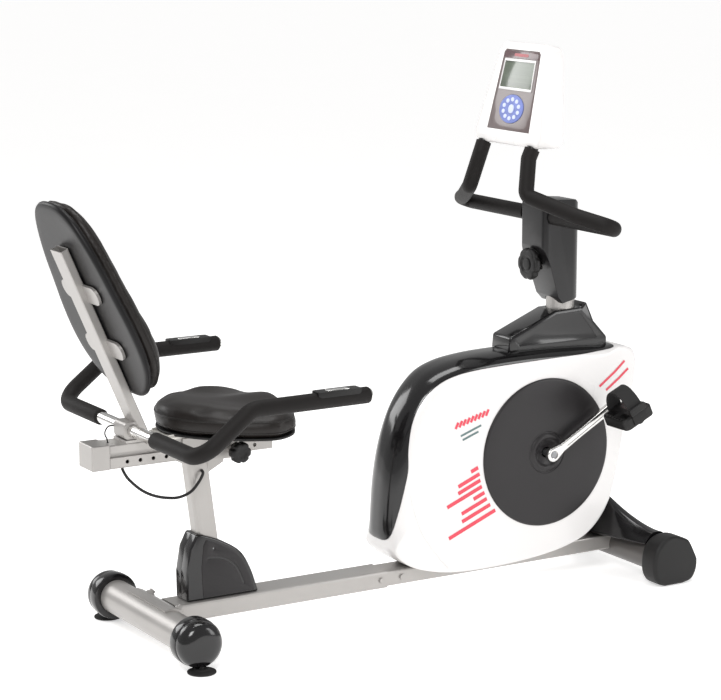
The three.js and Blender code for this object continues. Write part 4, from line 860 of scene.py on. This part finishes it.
# Ten petal keys in a ring, round a pale centre button.
ring = raw("key_petals", prism(oval(-0.4), face, -0.6, 2.0))
boolean(ring, prism(arc(0, 76, 10.6, 0, 352.5, 47), face, -2, 4))
bevel(ring, 0.5, 2, 50)
dress(ring, KEY_BLUE, "key_ring", "keys", "keypad_ring")
petals = []
for i in range(10):
    angle = 2 * math.pi * (i + 0.5) / 10
    cu, cv = 28 * math.cos(angle), 76 + 20.5 * math.sin(angle)
    petals.append(prism(oval(0, 6, 4.6, cu, cv, 20), face, 2.0, 2.9))
piece("key_caps", merge(*petals), KEY_PALE, "key_ring", "keys", edge=0.4)
piece("key_centre", prism(arc(0, 76, 10, 0, 352.5, 47), face, -0.6, 3), KEY_PALE, "key_centre", "keys",
      "keypad_centre_button", edge=0.9)

# ---------------------------------------------------------------- cranks and pedals

def crank_lever(name, way, turn, end):
    """A flat arm with a round boss and eye, a flute on its outer face and the pedal's axle."""
    def along(distance, offset):
        return (CRANK_X + distance * math.cos(turn) - offset * math.sin(turn),
                CRANK_Z + distance * math.sin(turn) + offset * math.cos(turn))

    hub = (CRANK_X, CRANK_Z)
    deg = math.degrees(turn)
    outline = (arc(*hub, 16, deg + 90, deg + 270, 20) + [along(26, -9.5), along(80, -8.4)]
               + arc(*end, 10, deg - 90, deg + 90, 16) + [along(80, 8.4), along(26, 9.5)])
    lever = raw(f"crank_lever_{name}", prism(outline, side, *span(way, 82, 96)))
    bevel(lever, 3.2, 4, 40)
    boolean(lever, rod(*hub, way * 81, way * 88.3, 8.8, 40))
    boolean(lever, rod(*hub, way * 93, way * 98, 9.5, 40))
    flute = [along(38, 3.4), along(38, -3.4), along(146, -3.0), along(146, 3.0)]
    boolean(lever, prism(flute, side, *span(way, 94.6, 99)))
    boolean(lever, rod(*end, way * 89, way * 199, 6, 32), "UNION")
    dress(lever, BRIGHT, "crank", "chrome", f"crank_arm_{name}")
    bolt = [(0.3, 91), (8.6, 91), (8.6, 94.4), (7.4, 95.4), (0.3, 95.4)]
    piece(f"crank_bolt_{name}", lathe(bolt, (CRANK_X, 0, CRANK_Z), (0, way, 0), 6), STEEL, "crank", "steel",
          edge=0.6)


def pedal(name, way, end):
    """A caged tread round a barrel, with a foot strap and its buckle."""
    lean = Matrix.Rotation(math.radians(PEDAL_TILT), 3, "Y")
    body = f"{name}_pedal"

    def at_pedal(x, y, z):
        turned = lean @ Vector((x, y, z))
        return (end[0] + turned.x, way * (PEDAL_Y + turned.y), end[1] + turned.z)

    def block(x, y, half_x, half_y, z0, z1):
        corners = [(x - half_x, y - half_y), (x + half_x, y - half_y), (x + half_x, y + half_y),
                   (x - half_x, y + half_y)]
        return prism(corners, at_pedal, z0, z1)

    def tube(half_x, half_z, sides, y0, y1):
        turns = [2 * math.pi * k / sides for k in range(sides)]
        return loft([[at_pedal(half_x * math.cos(a), y, half_z * math.sin(a)) for a in turns] for y in (y0, y1)])

    tread = raw(f"pedal_tread_{name}", prism(rounded(40, 42, 12, 8), at_pedal, -13, 13))
    bevel(tread, 4, 4, 40)
    for sx in (-1, 1):
        for sy in (-1, 1):
            boolean(tread, block(sx * 23, sy * 21, 8, 13, -20, 20))
    for k in range(-3, 4):
        for sx in (-1, 1):
            boolean(tread, block(sx * 35.5, k * 10, 2.5, 2, 11.4, 20))
    boolean(tread, tube(13, 13.2, 40, -42, 42.5), "UNION")
    boolean(tread, tube(6.4, 6.4, 32, -62, 40))
    dress(tread, MOULDED, body, "soft_black", f"pedal_{name}")

    half_loop = [(math.cos(math.radians(a)), math.sin(math.radians(a))) for a in range(0, 181, 6)]
    outer, inner = ([(u, -8)] + [(u * c, v * s) for c, s in half_loop] + [(-u, -8)]
                    for u, v in ((45, 66), (42.2, 63)))
    loop = outer + inner[::-1]
    strap = raw(f"foot_strap_{name}", loft([[at_pedal(x, u, v) for u, v in loop] for x in (-18, 18)]))
    bevel(strap, 0.9, 2, 40)
    dress(strap, RUBBER, body, "soft_black")
    buckle = prism(rounded(21, 8, 3, 4, 0, 24), lambda u, v, w: at_pedal(u, w, v), 44, 49)
    piece(f"strap_buckle_{name}", buckle, MOULDED, body, "soft_black", edge=1.2)


for name, way in SIDES:
    turn = math.radians(CRANK_ANGLE if way < 0 else CRANK_ANGLE + 180)
    end = (CRANK_X + CRANK_LENGTH * math.cos(turn), CRANK_Z + CRANK_LENGTH * math.sin(turn))
    crank_lever(name, way, turn, end)
    pedal(name, way, end)

# ---------------------------------------------------------------- seat post cover

POST_SLOPE = (POST_TOP_X - POST_FOOT_X) / (POST_TOP_Z - BEAM_TOP)


def post_space(u, v, w):
    """The leaning post's own space: w is the height, u and v lie across it."""
    return (POST_FOOT_X + (w - BEAM_TOP) * POST_SLOPE + u, v, w)


COVER_SIDE = ([(66, BEAM_TOP), (65, 140), (74, 192), (89, 221)]
              + curve([(103, 219), (143, 203), (189, 173), (212, 135), (230, BEAM_TOP)], 6))
FIELD = ([(102, 88), (99, 150), (104, 196)]
         + curve([(110, 208), (142, 194), (181, 168), (203, 132), (219, 88)], 6))
GROOVE = [(112, 170), (148, 164), (176, 144), (196, 104)]
SCREW_X, SCREW_Z = 126, 188
for name, way in SIDES:
    half = raw(f"post_fairing_{name}", prism(COVER_SIDE, side, *span(way, -4, 26)))
    bevel(half, 4.5, 4, 30)
    boolean(half, prism(grow(COVER_SIDE, -3.5), side, *span(way, -10, 22.6)))
    boolean(half, box(60, 240, *span(way, -20, 0.15), 50, 300))
    boolean(half, prism(rounded(24, 21, 10, 8), post_space, 60, POST_TOP_Z))
    boolean(half, box(74, 220, *span(way, -1, 22.6), 60, 100))
    dress(half, GLOSS, "frame", "black_gloss", f"post_cover_{name}", sharp=30)
    inlay = raw(f"fairing_panel_{name}", prism(FIELD, side, *span(way, 25.6, 27)))
    boolean(inlay, sweep(smooth([(x, way * 27.2, z) for x, z in GROOVE], 8), 2.2, 16, 2))
    boolean(inlay, rod(SCREW_X, SCREW_Z, way * 24.5, way * 28, 4, 24))
    bevel(inlay, 0.5, 2, 45)
    dress(inlay, CHARCOAL, "frame", "charcoal")
    screw = lathe([(0.3, 24.6), (3.4, 24.6), (3.4, 25.2), (2.2, 25.9), (0.3, 26.1)],
                  (SCREW_X, 0, SCREW_Z), (0, way, 0), 24)
    piece(f"fairing_screw_{name}", screw, STEEL, "frame", "steel")

# ---------------------------------------------------------------- side handlebar

ARM = [(322, ARM_Y, ARM_END), (62, ARM_Y, ARM_HIGH), (-48, ARM_Y, ARM_LOW)]
corners = ARM + [(x, -y, z) for x, y, z in reversed(ARM)]
side_bar = sweep(bent(corners, 44), TUBE_RADIUS, 32)
piece("side_bar", side_bar, CHROME, "carriage", "chrome", "side_handlebar_tube")
for name, way in SIDES:
    path = [(x, way * y, z) for x, y, z in [(-48, 118, ARM_LOW)] + ARM[::-1]]
    foam = sweep(bent(path, 44, 14), FOAM_RADIUS, 32, 7)
    piece(f"side_foam_{name}", foam, FOAM, "carriage", "soft_black", f"side_grip_{name}")
    outline = [(200, 302), (206, 300), (290, 300), (296, 302), (296, 328), (290, 330), (206, 330), (200, 328)]
    plate = raw(f"pulse_plate_{name}", prism([(x, way * y) for x, y in outline], plan, 545, 556.5))
    boolean(plate, sweep([(150, way * ARM_Y, 537.4), (330, way * ARM_Y, ARM_END)], 16.8, 40))
    boolean(plate, box(222, 274, *sorted((way * 306, way * 324)), 555.6, 560))
    bevel(plate, 1.2, 3, 40)
    dress(plate, MOULDED, "carriage", "chrome", f"pulse_sensor_{name}")
    insert = box(224, 272, *sorted((way * 308, way * 322)), 555.0, 557.2)
    piece(f"pulse_insert_{name}", insert, CHROME, "carriage", "chrome", edge=0.8)

# ---------------------------------------------------------------- cushions

def back(u, v, w):
    """The backrest's plane: u to the rider's left, v up the back, w towards the rider."""
    return (BACK_FOOT_X - v * math.sin(BACK_LEAN) + w * math.cos(BACK_LEAN), u,
            BACK_FOOT_Z + v * math.cos(BACK_LEAN) + w * math.sin(BACK_LEAN))


def middle_of(outline):
    return [sum(p[i] for p in outline) / len(outline) for i in (0, 1)]


def cushion(name, outline, to_space, levels, dish):
    """A crowned pad: levels are (share of the outline, height), and dish(u, v) bends its upper side."""
    mid_u, mid_v = middle_of(outline)
    low = levels[0][1]
    high = max(h for _, h in levels)
    rings = []
    for share, h in levels:
        ring = []
        for u, v in outline:
            pu, pv = mid_u + (u - mid_u) * share, mid_v + (v - mid_v) * share
            lift = (h - low) / (high - low)
            ring.append(to_space(pu, pv, h + dish(pu, pv) * lift))
        rings.append(ring)
    return raw(name, loft(rings))


VOXEL = 0.0055
CLOTH_FRAMES = 20
PRESSURE = 4.0
SWELL_CAP = 0.006


def inflate(obj):
    """Lets the cover swell over its filling; no point moves further than the cap."""
    mod = obj.modifiers.new("grid", "REMESH")
    mod.mode = "VOXEL"
    mod.voxel_size = VOXEL
    settle(obj)
    rest = [v.co.copy() for v in obj.data.vertices]
    cloth = obj.modifiers.new("cover", "CLOTH")
    cloth.settings.quality = 4
    cloth.settings.mass = 0.25
    cloth.settings.tension_stiffness = 14
    cloth.settings.compression_stiffness = 12
    cloth.settings.shear_stiffness = 6
    cloth.settings.bending_stiffness = 1.2
    cloth.settings.use_pressure = True
    cloth.settings.uniform_pressure_force = PRESSURE
    cloth.settings.effector_weights.gravity = 0
    cloth.point_cache.frame_start = 1
    cloth.point_cache.frame_end = CLOTH_FRAMES
    for step in range(1, CLOTH_FRAMES + 1):
        scene.frame_set(step)
    graph = bpy.context.evaluated_depsgraph_get()
    swollen = [v.co.copy() for v in obj.evaluated_get(graph).data.vertices]
    obj.modifiers.clear()
    for vertex, before, after in zip(obj.data.vertices, rest, swollen):
        move = after - before
        if move.length > SWELL_CAP:
            move *= SWELL_CAP / move.length
        vertex.co = before + move
    scene.frame_set(1)
    return obj


def refine(obj):
    """Takes the voxel steps out of the cover and divides it once."""
    mod = obj.modifiers.new("smoother", "CORRECTIVE_SMOOTH")
    mod.factor = 0.5
    mod.iterations = 6
    mod.use_only_smooth = True
    division = obj.modifiers.new("finer", "SUBSURF")
    division.levels = 1
    return settle(obj)


def piping_path(obj, outline, to_space, height, count=120):
    """Where a seam at this height meets the pad's edge."""
    tree = BVHTree.FromObject(obj, bpy.context.evaluated_depsgraph_get())
    mid_u, mid_v = middle_of(outline)
    found = []
    for i in range(0, len(outline), max(1, len(outline) // count)):
        u, v = outline[i]
        far = place(to_space(mid_u + (u - mid_u) * 1.4, mid_v + (v - mid_v) * 1.4, height))
        near = place(to_space(mid_u, mid_v, height))
        hit = tree.ray_cast(far, (near - far).normalized())[0]
        if hit:
            found.append(((hit.x - AXIS) * 1000, hit.y * 1000, hit.z * 1000))
    return found


def hoop(path, radius, sides=12):
    """A closed round cord along a loop of points."""
    pts = [Vector(p) for p in path]
    n = len(pts)
    rings = []
    centre = sum(pts, Vector()) / n
    for i, p in enumerate(pts):
        tangent = (pts[(i + 1) % n] - pts[i - 1]).normalized()
        outwards = p - centre
        normal = (outwards - tangent * outwards.dot(tangent)).normalized()
        other = tangent.cross(normal)
        rings.append(circle(p, normal, other, radius, sides))
    return loft(rings + [rings[0]], False)


SEAT_HALF = [(17, 0), (27, 52), (54, 100), (97, 144), (145, 175), (195, 192), (246, 166), (282, 108), (302, 44)]
SEAT_EDGE = curve(SEAT_HALF + [(x, -y) for x, y in reversed(SEAT_HALF[1:])], 6, True)


def seat_dish(x, y):
    """The seat rises at the rear and dips where the thighs lie."""
    rear = max(0, 1 - (x - 17) / 150) ** 1.3 * 13
    thighs = -9 * math.exp(-((abs(y) - 78) / 62) ** 2) * min(max((x - 90) / 110, 0), 1)
    nose = 5 * math.exp(-(y / 40) ** 2) * min(max((x - 120) / 120, 0), 1)
    return rear + thighs + nose


seat = cushion("seat_cushion", SEAT_EDGE, plan,
               [(0.05, 438.6), (0.5, 438.6), (0.84, 439), (0.92, 441), (0.958, 446), (0.972, 453), (0.976, 460),
                (0.972, 467), (0.955, 474), (0.92, 479), (0.85, 482.5), (0.7, 484.5), (0.45, 485.5), (0.2, 486),
                (0.05, 486)], seat_dish)
inflate(seat)
refine(seat)
dress(seat, HIDE, "carriage", "hide", "seat_pad", sharp=80)
for label, height in (("lower", 449), ("upper", 471)):
    path = piping_path(seat, SEAT_EDGE, plan, height)
    piece(f"seat_piping_{label}", hoop(path, 1.7), PIPING, "carriage", "hide", sharp=80)
board = prism([(x * 0.93 + 12, y * 0.93) for x, y in SEAT_EDGE], plan, 434.6, 439.5)
piece("seat_board", board, MOULDED, "carriage", "soft_black", edge=1.5)

BACK_HALF = [(0, 0), (64, 3), (112, 30), (146, 72), (159, 118), (157, 176), (145, 236), (132, 298), (112, 354),
             (84, 400), (46, 424), (0, 430)]
BACK_EDGE = curve(BACK_HALF + [(-u, v) for u, v in reversed(BACK_HALF[1:-1])], 6, True)


def back_dish(u, v):
    """The back is hollowed along its middle and fuller at the lumbar line."""
    hollow = -6 * math.exp(-(u / 55) ** 2) * min(v / 120, 1)
    lumbar = 7 * math.exp(-((v - 110) / 80) ** 2)
    return hollow + lumbar


rest = cushion("back_cushion", BACK_EDGE, back,
               [(0.05, 12.6), (0.6, 12.6), (0.9, 12.8), (0.955, 14), (0.984, 17), (0.99, 23), (0.984, 29),
                (0.962, 34), (0.91, 37), (0.8, 38.4), (0.6, 39.8), (0.3, 40.6), (0.05, 40.8)], back_dish)
inflate(rest)
refine(rest)
dress(rest, HIDE, "carriage", "hide", "back_pad", sharp=80)
for label, height in (("rear", 15.5), ("front", 30)):
    path = piping_path(rest, BACK_EDGE, back, height)
    piece(f"back_piping_{label}", hoop(path, 1.7), PIPING, "carriage", "hide", sharp=80)

# The moulded back: a shallow tray with a rolled rim, as (share of the outline, height).
TRAY = [(0.05, 2.4), (0.5, 1.6), (0.86, 0.6), (0.93, 0.4), (0.965, 1.2), (0.985, 3.4), (0.992, 7), (0.99, 10),
        (0.98, 11.8), (0.95, 12.2), (0.5, 12.2), (0.05, 12.2)]
BACK_MIDDLE = 215
tray = raw("back_tray", loft([
    [back(u * share * 0.985, BACK_MIDDLE + (v - BACK_MIDDLE) * share * 0.99, h) for u, v in BACK_EDGE]
    for share, h in TRAY]))
dress(tray, BACK_PLASTIC, "carriage", "soft_black", "back_shell", sharp=60)

# ---------------------------------------------------------------- finishes of the CAD pieces that stay

KEEP = [
    (SILVER, ["rear_beam", "front_beam", "mast_tube", "seat_post", "slide_cradle", "seat_rail", "rail_end_block",
              "back_post"]),
    (BRACKET, ["seat_bracket"]),
    (STEEL, ["crank_spindle_and_pulley", "crank_bearing_housing", "flywheel_bracket", "belt_idler",
             "magnet_brake_arm"]),
    (IRON, ["flywheel"]),
    (RUBBER, ["drive_belt"]),
]
for mat, nodes in KEEP:
    for node in nodes:
        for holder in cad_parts[node].material_slots:
            holder.link = "OBJECT"
            holder.material = mat

# ---------------------------------------------------------------- floor

FLOOR_REACH = 70
floor_mesh = bpy.data.meshes.new("floor")
floor_corners = [(x * FLOOR_REACH, y * FLOOR_REACH, 0) for x, y in ((-1, -1), (1, -1), (1, 1), (-1, 1))]
floor_mesh.from_pydata(floor_corners, [], [(0, 1, 2, 3)])
floor = bpy.data.objects.new("floor", floor_mesh)
scene.collection.objects.link(floor)
PAPER = material("floor_paper", 0xfbfaf9, 0.9, vary=0.004, patch=1.5, grain=300, bump=0.01)
floor.data.materials.append(PAPER)
floor.location.z = -0.0005
paper = PAPER.node_tree.nodes["Principled BSDF"]
paper.inputs["Emission Color"].default_value = (1, 1, 1, 1)
paper.inputs["Emission Strength"].default_value = 0.5
